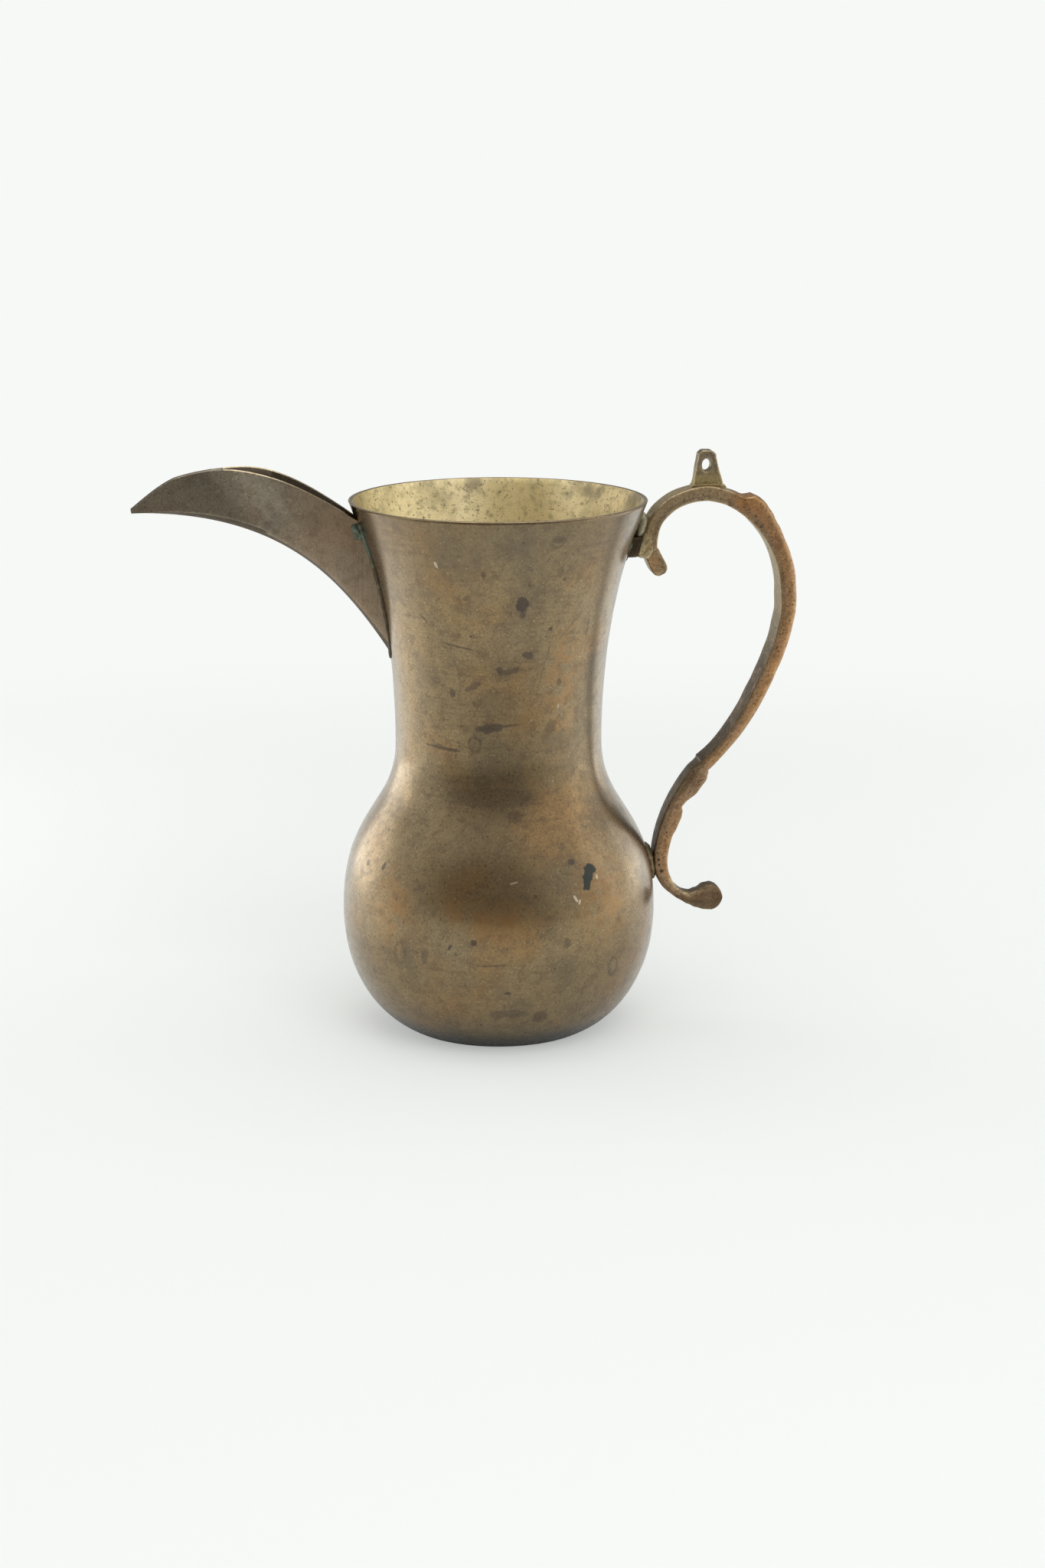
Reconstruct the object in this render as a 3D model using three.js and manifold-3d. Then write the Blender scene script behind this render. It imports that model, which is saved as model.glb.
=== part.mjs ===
// A brass pitcher: raised body with a flared neck, crescent beak spout, and a cast scroll handle with a lug
// for the lid's hinge.
// Millimetres, +Z up. The origin is the middle of the underside. +X points to the handle, -X to the spout.

import * as THREE from "three";
import { mergeVertices } from "three/addons/utils/BufferGeometryUtils.js";
import Module from "manifold-3d";

// Body shell, a lathe form in three sweeps: foot to belly, belly to waist, waist to rim
const wall = 1.2;
const footRadius = 25.3;
const footLand = 2.3; // flat ring inside the foot edge, where the base disc is let in
const footSweepOut = 10.5;
const footSweepUp = 4.3;
const bellyRadius = 44.8;
const bellyHeight = 35.4; // height of the widest place
const bellySweepBelow = 19;
const bellySweepAbove = 28;
const waistRadius = 29.4;
const waistHeight = 84;
const waistSweepBelow = 19.8;
const waistSweepAbove = 34.8;
const rimRadius = 42.1;
const rimHeight = 153;
const rimSweep = 15.9;
const rimLean = 22; // degrees that the neck leans out at the rim

// Joints: metal that touches keeps a thin seam, and solder climbs each side by its leg
const seam = 0.3;
const solderLeg = 1.5;
const padSolder = 1.35; // solder between the belly and the handle
const brazeLeg = 1.1;
const baseBeadWidth = 2.4;
const baseBeadHeight = 0.9;

// Spout, a beak of two sheet cheeks. Heights are from the rim, reaches from the rim's edge
const sheet = 0.9;
const cheekSlit = 0.3;
const keelHalf = 1.15; // half the width over both cheeks along the keel
const mouthHalf = 5.2; // half the width over both cheeks at the open top
const tipHalf = 1.2;
const cheekSwell = 0.75; // below 1 the cheeks bulge, at 1 they are flat
const keelDrop = 44.1; // rim down to where the keel leaves the neck
const keelRiseOut = 13.9;
const keelRiseUp = 24.7;
const keelRun = 39.3; // level stretch of the keel behind the tip
const tipReach = 60.3;
const tipDrop = 1.7;
const tipNose = 0.9; // height of the blunt tip
const topDrop = 4.4; // rim down to where the top edges leave the neck
const topRiseOut = 17.1;
const topRiseUp = 13;
const crestReach = 48; // place of the slight angle in the top edge
const crestRise = 8;
const crestSweepBack = 20;
const crestSweepUp = 5.9;
const crestPlace = 0.8; // share of the way along the spout where the top edge turns down
const narrowFrom = 0.38; // shares where the open top starts and ends closing
const narrowTo = 0.7;
const rootBury = 0.35; // how far the first section is drawn back into the neck, as a share of its radius
const windowTopLedge = 5.5; // neck wall left above the pouring window, below the spout's top edge
const windowLowLedge = 9; // neck wall left below it, above the keel
const windowTopHalf = 3.3;
const windowLowHalf = 1;

// Neck block, which carries the handle's upper end
const blockDrop = 13.9; // rim down to the middle of the block
const blockTall = 6;
const blockReach = 3.4;
const blockDepth = 7.6;

// Handle, a flat casting along six sweeps: tail, arch, shoulder, grip, leaf and hook
const tailDepth = 7.4; // front to back at the tail
const archDepth = 8;
const gripDepth = 10.2;
const barDepth = 9.6; // front to back above the leaf
const leafDepth = 6.8;
const hookDepth = 5.6; // also of the knob
const handleEdge = 1; // rounding along the edges of the casting
const bossDepth = 7.8;
const stemOut = 2.4; // boss face to the middle of the stem
const tailOut = 5.9; // boss face to the middle of the tail's tip
const tailDrop = 8; // block's middle down to the tail's tip
const stemSweep = 6.8;
const archSweep = 11.7;
const crownOut = 18.7; // boss face to the crown
const crownRise = 0.7; // rim up to the middle of the bar at the crown
const shoulderSweep = 3.5;
const gripReach = 83.2; // pitcher's axis to the middle of the bar at its widest
const gripHeight = 124;
const gripSweepAbove = 25;
const gripSweepBelow = 7;
const leafReach = 60.1; // pitcher's axis to the middle of the bar where the leaf starts
const leafHeight = 75.8;
const leafSlope = 44; // degrees that the bar falls there
const leafSweepAbove = 22;
const leafSweepBelow = 5.5;
const jointRise = 12.1; // widest place of the belly up to the lower joint
const jointGap = 1.3; // solder filled space between belly and bar
const jointSweepAbove = 11;
const jointSweepBelow = 8.9;
const hookOut = 12.9; // joint to the end of the hook
const hookDrop = 11.5;
const hookSweep = 6.7;
const knobRadius = 4.1;

// Half thicknesses of the bar, each from the sweep's line to the inner or outer side, or alike to both
const tipHalfBar = 1.5;
const tailHalf = 1.95;
const stemHalf = 1.75;
const archInner = 1.6;
const archOuter = 2.15;
const crownHalf = 1.8;
const shoulderHalf = 2.3;
const knuckleOuter = 4.2; // step behind the lug
const gripHalf = 2.2;
const barInner = 1.5;
const barOuter = 2.5;
const neckHalf = 1.8; // slim place above the leaf
const leafInner = 2.3;
const leafOuter = 3.4;
const notchOuter = 1.5; // between the leaf and its nib
const nibOuter = 2.9;
const jointHalf = 1.9;
const hookHalf = 1.4;

// Hinge lug on the crown
const lugThick = 2.4;
const lugFoot = 8.1; // width at the foot
const lugTop = 4.7; // width at the top
const lugTall = 10.6;
const lugSet = 0.6; // crown to the middle of the lug's foot
const lugLean = 0.6; // how far its top leans towards the spout
const lugCorner = 1.2;
const lugHoleWide = 2.5; // the pin hole, worn oval
const lugHoleTall = 3.4;
const lugHoleDrop = 4.4; // top of the lug down to the middle of the hole

// Facets
const bodySegments = 60;
const sweepSteps = 8;
const spoutSteps = 22;
const cheekSteps = 5;
const handleSteps = 13;
const roundSegments = 20;
const beadSteps = 6;
const mergeWithin = 1e-4;

const wasm = await Module();
wasm.setup();

// Helpers

function v2(x, y) {
  return new THREE.Vector2(x, y);
}

function sweep(a, b, c, d) {
  return new THREE.CubicBezierCurve(a, b, c, d);
}

function solid(geometry) {
  geometry.deleteAttribute("normal");
  geometry.deleteAttribute("uv");
  const merged = mergeVertices(geometry, mergeWithin);
  return new wasm.Manifold(
    new wasm.Mesh({
      numProp: 3,
      vertProperties: merged.attributes.position.array,
      triVerts: new Uint32Array(merged.index.array),
    }),
  );
}

function geometryOf(made) {
  const mesh = made.getMesh();
  const geometry = new THREE.BufferGeometry();
  geometry.setAttribute("position", new THREE.BufferAttribute(mesh.vertProperties, 3));
  geometry.setIndex(new THREE.BufferAttribute(mesh.triVerts, 1));
  const facets = geometry.toNonIndexed();
  facets.computeVertexNormals();
  return facets;
}

// A profile of (radius, height) turned about the Z axis
function revolve(profile) {
  return solid(new THREE.LatheGeometry(profile, bodySegments).rotateX(Math.PI / 2));
}

// An outline of (x, z) points made into a plate that lies evenly on both sides of the XZ plane
function plate(outline, depth) {
  const geometry = new THREE.ExtrudeGeometry(new THREE.Shape(outline), { depth, bevelEnabled: false });
  return solid(geometry.rotateX(Math.PI / 2).translate(0, depth / 2, 0));
}

// A convex outline, anticlockwise, with every side moved out by a distance
function grown(outline, distance) {
  const count = outline.length;
  const normals = outline.map((point, i) => {
    const side = outline[(i + 1) % count].clone().sub(point).normalize();
    return v2(side.y, -side.x);
  });
  return outline.map((point, i) => {
    const before = normals[(i + count - 1) % count];
    const both = before.clone().add(normals[i]);
    return point.clone().addScaledVector(both, distance / (1 + before.dot(normals[i])));
  });
}

// A closed solid through rings of equally many points, with a strip of faces over each end
function loft(rings) {
  const count = rings[0].length;
  const index = [];
  for (let r = 0; r + 1 < rings.length; r += 1) {
    for (let k = 0; k < count; k += 1) {
      const a = r * count + k;
      const b = r * count + ((k + 1) % count);
      index.push(a, b, b + count, a, b + count, a + count);
    }
  }
  const last = (rings.length - 1) * count;
  for (let k = 0; k + 1 < count / 2; k += 1) {
    const [a, b, c, d] = [k, k + 1, count - 2 - k, count - 1 - k];
    index.push(a, c, b, a, d, c);
    index.push(last + a, last + b, last + c, last + a, last + c, last + d);
  }
  const geometry = new THREE.BufferGeometry().setFromPoints(rings.flat());
  geometry.setIndex(index);
  return solid(geometry);
}

// The metal that lies within a leg of both neighbours, clear of each by the seam
function jointBead(first, second, leg) {
  return first(leg).intersect(second(leg)).subtract(first(seam)).subtract(second(seam));
}

// Body shell

const leanOut = Math.tan(THREE.MathUtils.degToRad(rimLean));
const bodySweeps = [
  sweep(
    v2(footRadius, 0),
    v2(footRadius + footSweepOut, footSweepUp),
    v2(bellyRadius, bellyHeight - bellySweepBelow),
    v2(bellyRadius, bellyHeight),
  ),
  sweep(
    v2(bellyRadius, bellyHeight),
    v2(bellyRadius, bellyHeight + bellySweepAbove),
    v2(waistRadius, waistHeight - waistSweepBelow),
    v2(waistRadius, waistHeight),
  ),
  sweep(
    v2(waistRadius, waistHeight),
    v2(waistRadius, waistHeight + waistSweepAbove),
    v2(rimRadius - rimSweep * leanOut, rimHeight - rimSweep),
    v2(rimRadius, rimHeight),
  ),
];

// The outer profile from foot to rim, moved out by an offset
function bodyLine(offset) {
  return bodySweeps.flatMap((curve, part) => {
    const line = [];
    for (let i = part ? 1 : 0; i <= sweepSteps; i += 1) {
      const point = curve.getPoint(i / sweepSteps);
      const along = curve.getTangent(i / sweepSteps);
      line.push(v2(point.x + along.y * offset, point.y - along.x * offset));
    }
    return line;
  });
}

// Outer radius of the body at a height
function bodyRadius(height) {
  const line = bodyLine(0);
  const above = Math.max(1, line.findIndex((point) => point.y >= height));
  const [low, high] = [line[above - 1], line[above]];
  return THREE.MathUtils.mapLinear(height, low.y, high.y, low.x, high.x);
}

// The body as if it were filled, for seating what is soldered to its outside
function bodyFilled(offset) {
  const line = bodyLine(offset);
  return revolve([v2(0, line[0].y), ...line, v2(0, line.at(-1).y)]);
}

const spoutTop = rimHeight - topDrop;
const spoutLow = rimHeight - keelDrop;

function bodyShell() {
  const inside = bodyLine(-wall).slice(0, -1).reverse();
  const opening = footRadius - footLand;
  const shell = revolve([
    v2(opening, 0),
    ...bodyLine(0),
    v2(rimRadius - wall / Math.cos(THREE.MathUtils.degToRad(rimLean)), rimHeight),
    ...inside,
    v2(opening, wall),
    v2(opening, 0),
  ]);
  const window = new THREE.Shape([
    v2(-windowLowHalf, spoutLow + windowLowLedge),
    v2(windowLowHalf, spoutLow + windowLowLedge),
    v2(windowTopHalf, spoutTop - windowTopLedge),
    v2(-windowTopHalf, spoutTop - windowTopLedge),
  ]);
  const reach = bellyRadius + rimRadius;
  const cutter = new THREE.ExtrudeGeometry(window, { depth: reach, bevelEnabled: false });
  return shell.subtract(solid(cutter.rotateX(Math.PI / 2).rotateZ(-Math.PI / 2)));
}

// Base disc and the bead that seals it

const discRadius = footRadius - footLand - seam;

function baseDisc() {
  return revolve([v2(0, 0), v2(discRadius, 0), v2(discRadius, wall), v2(0, wall)]);
}

function baseBead() {
  const arc = new THREE.EllipseCurve(
    discRadius + seam / 2,
    wall + seam,
    baseBeadWidth / 2,
    baseBeadHeight,
    0,
    Math.PI,
  );
  const profile = arc.getPoints(beadSteps);
  return revolve([...profile, profile[0].clone()]);
}

// Spout: both cheeks follow the same keel and top edge

const tipOut = rimRadius + tipReach;
const crestOut = rimRadius + crestReach;
const crestHeight = rimHeight + crestRise;
const tipHeight = rimHeight - tipDrop;
const keelRoot = v2(-bodyRadius(spoutLow), spoutLow);
const topRoot = v2(-bodyRadius(spoutTop), spoutTop);
const keel = sweep(
  keelRoot,
  v2(keelRoot.x - keelRiseOut, keelRoot.y + keelRiseUp),
  v2(-tipOut + keelRun, tipHeight),
  v2(-tipOut, tipHeight),
);
const topEdge = sweep(
  topRoot,
  v2(topRoot.x - topRiseOut, topRoot.y + topRiseUp),
  v2(-crestOut + crestSweepBack, crestHeight + crestSweepUp),
  v2(-crestOut, crestHeight),
);
const beakEdge = new THREE.LineCurve(v2(-crestOut, crestHeight), v2(-tipOut, tipHeight + tipNose));

function topPoint(t) {
  if (t < crestPlace) {
    return topEdge.getPoint(t / crestPlace);
  }
  return beakEdge.getPoint((t - crestPlace) / (1 - crestPlace));
}

// Points up one cheek at a station along the spout, on its outer face moved out by an offset
function cheekLine(t, offset) {
  const low = keel.getPoint(Math.max(t, 0));
  const high = topPoint(Math.max(t, 0));
  const inward = t < 0 ? bodyRadius(spoutLow) * rootBury : 0;
  const closing = THREE.MathUtils.smoothstep(t, narrowFrom, narrowTo);
  const half = THREE.MathUtils.lerp(mouthHalf, tipHalf, closing);
  const line = [];
  for (let i = 0; i <= cheekSteps; i += 1) {
    const s = i / cheekSteps;
    const at = low.clone().lerp(high, s);
    const y = keelHalf + (half - keelHalf) * s ** cheekSwell + offset;
    line.push(new THREE.Vector3(at.x + inward, y, at.y - (i ? 0 : Math.max(offset, 0))));
  }
  return line;
}

function mirrored(line) {
  return line.map((point) => new THREE.Vector3(point.x, -point.y, point.z));
}

// Stations from inside the neck, before the root at 0, out to the tip at 1
function spoutStations() {
  return [-1, ...Array.from({ length: spoutSteps + 1 }, (_, i) => i / spoutSteps)];
}

// The spout as if it were filled, for its solder. The smaller the offset, the higher its top, so that the
// cut for the spout leaves no solder across the open trough.
function spoutFilled(offset) {
  const rings = spoutStations().map((t) => {
    const line = cheekLine(t, offset);
    line.at(-1).z += solderLeg - offset;
    return [...line.toReversed(), ...mirrored(line)];
  });
  return loft(rings);
}

function spoutCheek(left) {
  const rings = spoutStations().map((t) => {
    const outer = cheekLine(t, 0);
    const inner = cheekLine(t, -sheet).map((point) => point.setY(Math.max(point.y, cheekSlit / 2)));
    const ring = [...outer.toReversed(), ...inner];
    return left ? mirrored(ring).toReversed() : ring;
  });
  return loft(rings).subtract(bodyFilled(seam));
}

// Neck block

const blockMiddle = rimHeight - blockDrop;
const blockLow = blockMiddle - blockTall / 2;
const blockHigh = blockMiddle + blockTall / 2;
const blockOutline = [
  v2(bodyRadius(blockLow) - wall, blockLow),
  v2(bodyRadius(blockLow) + blockReach, blockLow),
  v2(bodyRadius(blockHigh) + blockReach, blockHigh),
  v2(bodyRadius(blockHigh) - wall, blockHigh),
];

function blockGrown(offset) {
  return plate(grown(blockOutline, offset), blockDepth + 2 * offset);
}

// Handle

const bossFace = bodyRadius(blockMiddle) + blockReach + seam;
const stem = v2(bossFace + stemOut, blockMiddle);
const tailTip = v2(bossFace + tailOut, blockMiddle - tailDrop);
const crown = v2(bossFace + crownOut, rimHeight + crownRise);
const grip = v2(gripReach, gripHeight);
const leaf = v2(leafReach, leafHeight);
const leafFall = v2(-1, 0).rotateAround(v2(0, 0), THREE.MathUtils.degToRad(leafSlope));
const jointHeight = bellyHeight + jointRise;
const joint = v2(bodyRadius(jointHeight) + jointGap + jointHalf, jointHeight);
const hookEnd = v2(joint.x + hookOut, joint.y - hookDrop);

// Each sweep of the bar, with its section as [share along it, inner side, outer side, depth]
const barSweeps = [
  {
    curve: sweep(
      tailTip,
      v2(stem.x + tailHalf, stem.y - tailDrop / 2),
      v2(stem.x, stem.y - tailHalf),
      stem,
    ),
    sections: [
      [0, tipHalfBar, tipHalfBar, tailDepth],
      [0.1, tailHalf, tailHalf, tailDepth],
      [1, stemHalf, stemHalf, archDepth],
    ],
  },
  {
    curve: sweep(stem, v2(stem.x, stem.y + stemSweep), v2(crown.x - archSweep, crown.y), crown),
    sections: [
      [0, stemHalf, stemHalf, archDepth],
      [0.35, archInner, archOuter, archDepth],
      [0.6, archInner, archOuter, archDepth],
      [1, crownHalf, crownHalf, archDepth],
    ],
  },
  {
    curve: sweep(
      crown,
      v2(crown.x + shoulderSweep, crown.y),
      v2(grip.x, grip.y + gripSweepAbove),
      grip,
    ),
    sections: [
      [0, crownHalf, crownHalf, archDepth],
      [0.33, crownHalf, shoulderHalf, archDepth],
      [0.37, shoulderHalf, knuckleOuter, archDepth],
      [0.49, shoulderHalf, knuckleOuter, archDepth],
      [0.64, shoulderHalf, shoulderHalf, archDepth],
      [1, gripHalf, gripHalf, gripDepth],
    ],
  },
  {
    curve: sweep(
      grip,
      v2(grip.x, grip.y - gripSweepBelow),
      leaf.clone().addScaledVector(leafFall, -leafSweepAbove),
      leaf,
    ),
    sections: [
      [0, gripHalf, gripHalf, gripDepth],
      [0.25, barInner, barOuter, gripDepth],
      [0.65, barInner, barOuter, barDepth],
      [1, neckHalf, neckHalf, barDepth],
    ],
  },
  {
    curve: sweep(
      leaf,
      leaf.clone().addScaledVector(leafFall, leafSweepBelow),
      v2(joint.x, joint.y + jointSweepAbove),
      joint,
    ),
    sections: [
      [0, neckHalf, neckHalf, barDepth],
      [0.06, neckHalf, neckHalf, barDepth],
      [0.2, leafInner, leafOuter, leafDepth],
      [0.32, leafInner, leafOuter, leafDepth],
      [0.51, leafInner, notchOuter, leafDepth],
      [0.54, leafInner, shoulderHalf, leafDepth],
      [0.62, leafInner, nibOuter, leafDepth],
      [0.78, jointHalf, shoulderHalf, leafDepth],
      [1, jointHalf, jointHalf, leafDepth],
    ],
  },
  {
    curve: sweep(
      joint,
      v2(joint.x, joint.y - jointSweepBelow),
      v2(hookEnd.x - hookSweep, hookEnd.y),
      hookEnd,
    ),
    sections: [
      [0, jointHalf, jointHalf, leafDepth],
      [0.45, hookHalf, jointHalf, hookDepth],
      [0.68, hookHalf, hookHalf, hookDepth],
      [1, leafInner, jointHalf, hookDepth],
    ],
  },
];

// A rounded rectangle, anticlockwise, from a low to a high side
function barSection(depth, low, high, edge) {
  const corners = [
    [depth / 2 - edge, high - edge],
    [edge - depth / 2, high - edge],
    [edge - depth / 2, low + edge],
    [depth / 2 - edge, low + edge],
  ];
  return corners.flatMap(([y, n], quarter) =>
    [0, 1, 2].map((step) => {
      const angle = ((quarter + step / 2) * Math.PI) / 2;
      return v2(y + edge * Math.cos(angle), n + edge * Math.sin(angle));
    }),
  );
}

// Inner side, outer side and depth at a share of the way along a sweep
function sectionAt(sections, share) {
  const next = Math.max(1, sections.findIndex((entry) => entry[0] >= share));
  const [from, to] = [sections[next - 1], sections[next]];
  const t = (share - from[0]) / (to[0] - from[0]);
  return from.slice(1).map((value, i) => THREE.MathUtils.lerp(value, to[i + 1], t));
}

function barRings(sweeps, offset) {
  return sweeps.flatMap(({ curve, sections }, part) => {
    const even = Array.from({ length: handleSteps + 1 }, (_, i) => i / handleSteps);
    const shares = [...new Set([...even, ...sections.map((entry) => entry[0])])].sort((a, b) => a - b);
    return shares.slice(part ? 1 : 0).map((share) => {
      const middle = curve.getPoint(share);
      const along = curve.getTangent(share);
      const [inner, outer, depth] = sectionAt(sections, share);
      const edge = Math.min(handleEdge, (inner + outer) / 3) + offset;
      const section = barSection(depth + 2 * offset, -inner - offset, outer + offset, edge);
      return section.map(
        (point) => new THREE.Vector3(middle.x - along.y * point.y, point.x, middle.y + along.x * point.y),
      );
    });
  });
}

function knob(offset) {
  const radius = knobRadius + offset;
  const half = hookDepth / 2 + offset;
  const profile = [
    v2(0, -half),
    v2(radius - handleEdge, -half),
    v2(radius, handleEdge - half),
    v2(radius, half - handleEdge),
    v2(radius - handleEdge, half),
    v2(0, half),
  ];
  const geometry = new THREE.LatheGeometry(profile, roundSegments);
  return solid(geometry.translate(hookEnd.x + handleEdge, 0, hookEnd.y + handleEdge / 2));
}

// The boss reaches from the block's face to the middle of the stem
function boss() {
  return plate(
    [
      v2(bodyRadius(blockLow) + blockReach + seam, blockLow),
      v2(stem.x, blockLow),
      v2(stem.x, blockHigh + seam),
      v2(bodyRadius(blockHigh) + blockReach + seam, blockHigh),
    ],
    bossDepth,
  );
}

function handleGrown(offset) {
  return loft(barRings(barSweeps, offset)).add(knob(offset));
}

// The stretch of the bar that lies against the belly
function lowerBar(offset) {
  return loft(barRings(barSweeps.slice(-2), offset));
}

function handle() {
  return handleGrown(0).add(boss());
}

// Hinge lug

const lugMiddle = crown.x + lugSet;
const lugBottom = crown.y + crownHalf / 2;
const lugCrest = crown.y + crownHalf + lugTall;
const lugOutline = [
  v2(lugMiddle - lugFoot / 2, lugBottom),
  v2(lugMiddle + lugFoot / 2, lugBottom),
  v2(lugMiddle - lugLean + lugTop / 2, lugCrest - lugCorner),
  v2(lugMiddle - lugLean + lugTop / 2 - lugCorner, lugCrest),
  v2(lugMiddle - lugLean - lugTop / 2 + lugCorner, lugCrest),
  v2(lugMiddle - lugLean - lugTop / 2, lugCrest - lugCorner),
];

function lugGrown(offset) {
  return plate(grown(lugOutline, offset), lugThick + 2 * offset);
}

function hingeLug() {
  const pinHole = new THREE.CylinderGeometry(lugHoleWide / 2, lugHoleWide / 2, archDepth, roundSegments);
  pinHole.scale(1, 1, lugHoleTall / lugHoleWide);
  pinHole.translate(lugMiddle - lugLean, 0, lugCrest - lugHoleDrop);
  return lugGrown(0).subtract(solid(pinHole)).subtract(handleGrown(seam));
}

// Assembly

const pitcher = new THREE.Group();

function addPiece(name, made, color, roughness, metalness) {
  const material = new THREE.MeshStandardMaterial({ color, roughness, metalness });
  const mesh = new THREE.Mesh(geometryOf(made), material);
  mesh.name = name;
  pitcher.add(mesh);
}

addPiece("body_shell", bodyShell(), "#7d6b52", 0.42, 1);
addPiece("base_disc", baseDisc(), "#75644b", 0.5, 1);
addPiece("base_solder", baseBead(), "#6d6f66", 0.55, 1);
addPiece("spout_left_cheek", spoutCheek(true), "#756757", 0.45, 1);
addPiece("spout_right_cheek", spoutCheek(false), "#756757", 0.45, 1);
addPiece("spout_root_solder", jointBead(spoutFilled, bodyFilled, solderLeg), "#5d6258", 0.6, 0.8);
addPiece("neck_block", blockGrown(0).subtract(bodyFilled(seam)), "#453d30", 0.65, 0.8);
addPiece("block_solder", jointBead(blockGrown, bodyFilled, solderLeg), "#5a5c4d", 0.65, 0.7);
addPiece("handle", handle(), "#8b6338", 0.45, 1);
addPiece("hinge_lug", hingeLug(), "#84703f", 0.5, 1);
addPiece("lug_braze", jointBead(lugGrown, handleGrown, brazeLeg), "#8d8048", 0.6, 0.9);
addPiece("lower_handle_solder", jointBead(lowerBar, bodyFilled, padSolder), "#6a6147", 0.6, 0.8);

export default pitcher;
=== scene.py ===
import math

import bmesh
import bpy
from mathutils import Matrix, Vector, noise


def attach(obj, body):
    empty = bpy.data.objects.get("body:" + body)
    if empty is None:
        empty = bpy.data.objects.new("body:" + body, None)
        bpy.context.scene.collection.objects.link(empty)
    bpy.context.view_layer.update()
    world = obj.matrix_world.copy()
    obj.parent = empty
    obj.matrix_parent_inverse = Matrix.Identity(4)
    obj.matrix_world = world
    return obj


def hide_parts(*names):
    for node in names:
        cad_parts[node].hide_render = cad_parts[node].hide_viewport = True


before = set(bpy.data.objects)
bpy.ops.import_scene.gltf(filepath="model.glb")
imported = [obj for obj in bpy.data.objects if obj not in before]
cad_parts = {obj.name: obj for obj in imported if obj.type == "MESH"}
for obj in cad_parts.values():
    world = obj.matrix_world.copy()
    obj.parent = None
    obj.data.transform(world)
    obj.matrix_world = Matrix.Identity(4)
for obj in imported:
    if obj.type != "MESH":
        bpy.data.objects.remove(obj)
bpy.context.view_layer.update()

MM = 0.001

# Body profile, in millimetres: the same three sweeps as the shell's construction
WALL = 1.2
FOOT = (25.3, 0.0)
BELLY = (44.8, 35.4)
WAIST = (29.4, 84.0)
RIM = (42.1, 153.0)
FOOT_PULL = (10.5, 4.3)
BELLY_PULL = (19.0, 28.0)
WAIST_PULL = (19.8, 34.8)
RIM_PULL = (6.42, 15.9)
FOOT_OPENING = 23.0
FOOT_FLAT = 0.6
BODY_SWEEPS = (
    (FOOT, (FOOT[0] + FOOT_PULL[0], FOOT_PULL[1]), (BELLY[0], BELLY[1] - BELLY_PULL[0]), BELLY),
    (BELLY, (BELLY[0], BELLY[1] + BELLY_PULL[1]), (WAIST[0], WAIST[1] - WAIST_PULL[0]), WAIST),
    (WAIST, (WAIST[0], WAIST[1] + WAIST_PULL[1]), (RIM[0] - RIM_PULL[0], RIM[1] - RIM_PULL[1]), RIM),
)
SWEEP_STEPS = (34, 42, 50)
BODY_TURNS = 256
# Rounded lip: distance in from the wall's outer or inner face, and height above the rim
LIP_OUTER = ((0.1, 0.12), (0.35, 0.2))
LIP_INNER = ((0.35, 0.2), (0.1, 0.1))
LIP_ROUND = 0.35
LIP_BAND = 0.3
# Dents and turning ripples: spread or spacing, and depth
DENT = (26.0, 0.16)
SMALL_DENT = (9.0, 0.05)
RIPPLE = (4.2, 0.05)
RIPPLE_LENGTH = 60.0
DENT_FADE = (2, 14)
# Pouring window behind the spout, as Y and Z
WINDOW = ((-1.0, 117.9), (1.0, 117.9), (3.3, 143.1), (-3.3, 143.1))
WINDOW_REACH = (-20, -40)
BASE_TURNS = 128
BASE_GAP = 0.3
# Underside of the base disc from the middle out: share of its radius, distance in from there and height
BASE_HOLLOW = ((0, 0, 0.25), (0.8, 0, 0.15), (1, 0.5, 0), (1, 0, 0.3))
BASE_SEAM = (1.3, 0.9)
BASE_SEAM_LIFT = 0.05

# Spout, in millimetres: keel and top edge in the XZ plane
KEEL = ((-30.7, 108.9), (-44.6, 133.6), (-63.1, 151.3), (-102.4, 151.3))
TOP_EDGE = ((-40.4, 147.9), (-57.3, 161.1), (-70.1, 166.6), (-90.1, 160.8))
BEAK_EDGE = ((-90.1, 160.8), (-94.9, 158.8), (-99.2, 154.9), (-102.6, 152.2))
CREST_PLACE = 0.8
SHEET = 0.9
MOUTH_HALF = 5.2
KEEL_HALF = 1.15
KEEL_ROUND = 8
KEEL_GAP = 0.12
KEEL_FILL = 0.9
TIP_HALF = 1.2
CHEEK_SWELL = 0.75
NARROW = (0.38, 0.7)
ROOT_BURY = 0.6
ROOT_BLEND = 0.3
EDGE_CREST = 0.27
FAR_RISE = 0.5
NEAR_DROP = 0.45
UNEVEN_END = 0.62
WORN_EDGE_END = -77.0
EDGE_LOWEST = 146
EDGE_FROM_KEEL = 0.5
SPOUT_STATIONS = 110
CHEEK_POINTS = 16
SEAM_RADII = (0.45, 0.8)
SEAM_LUMP = (0.35, 1.5)
SEAM_STEPS = 60
SEAM_POINTS = 12

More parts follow.
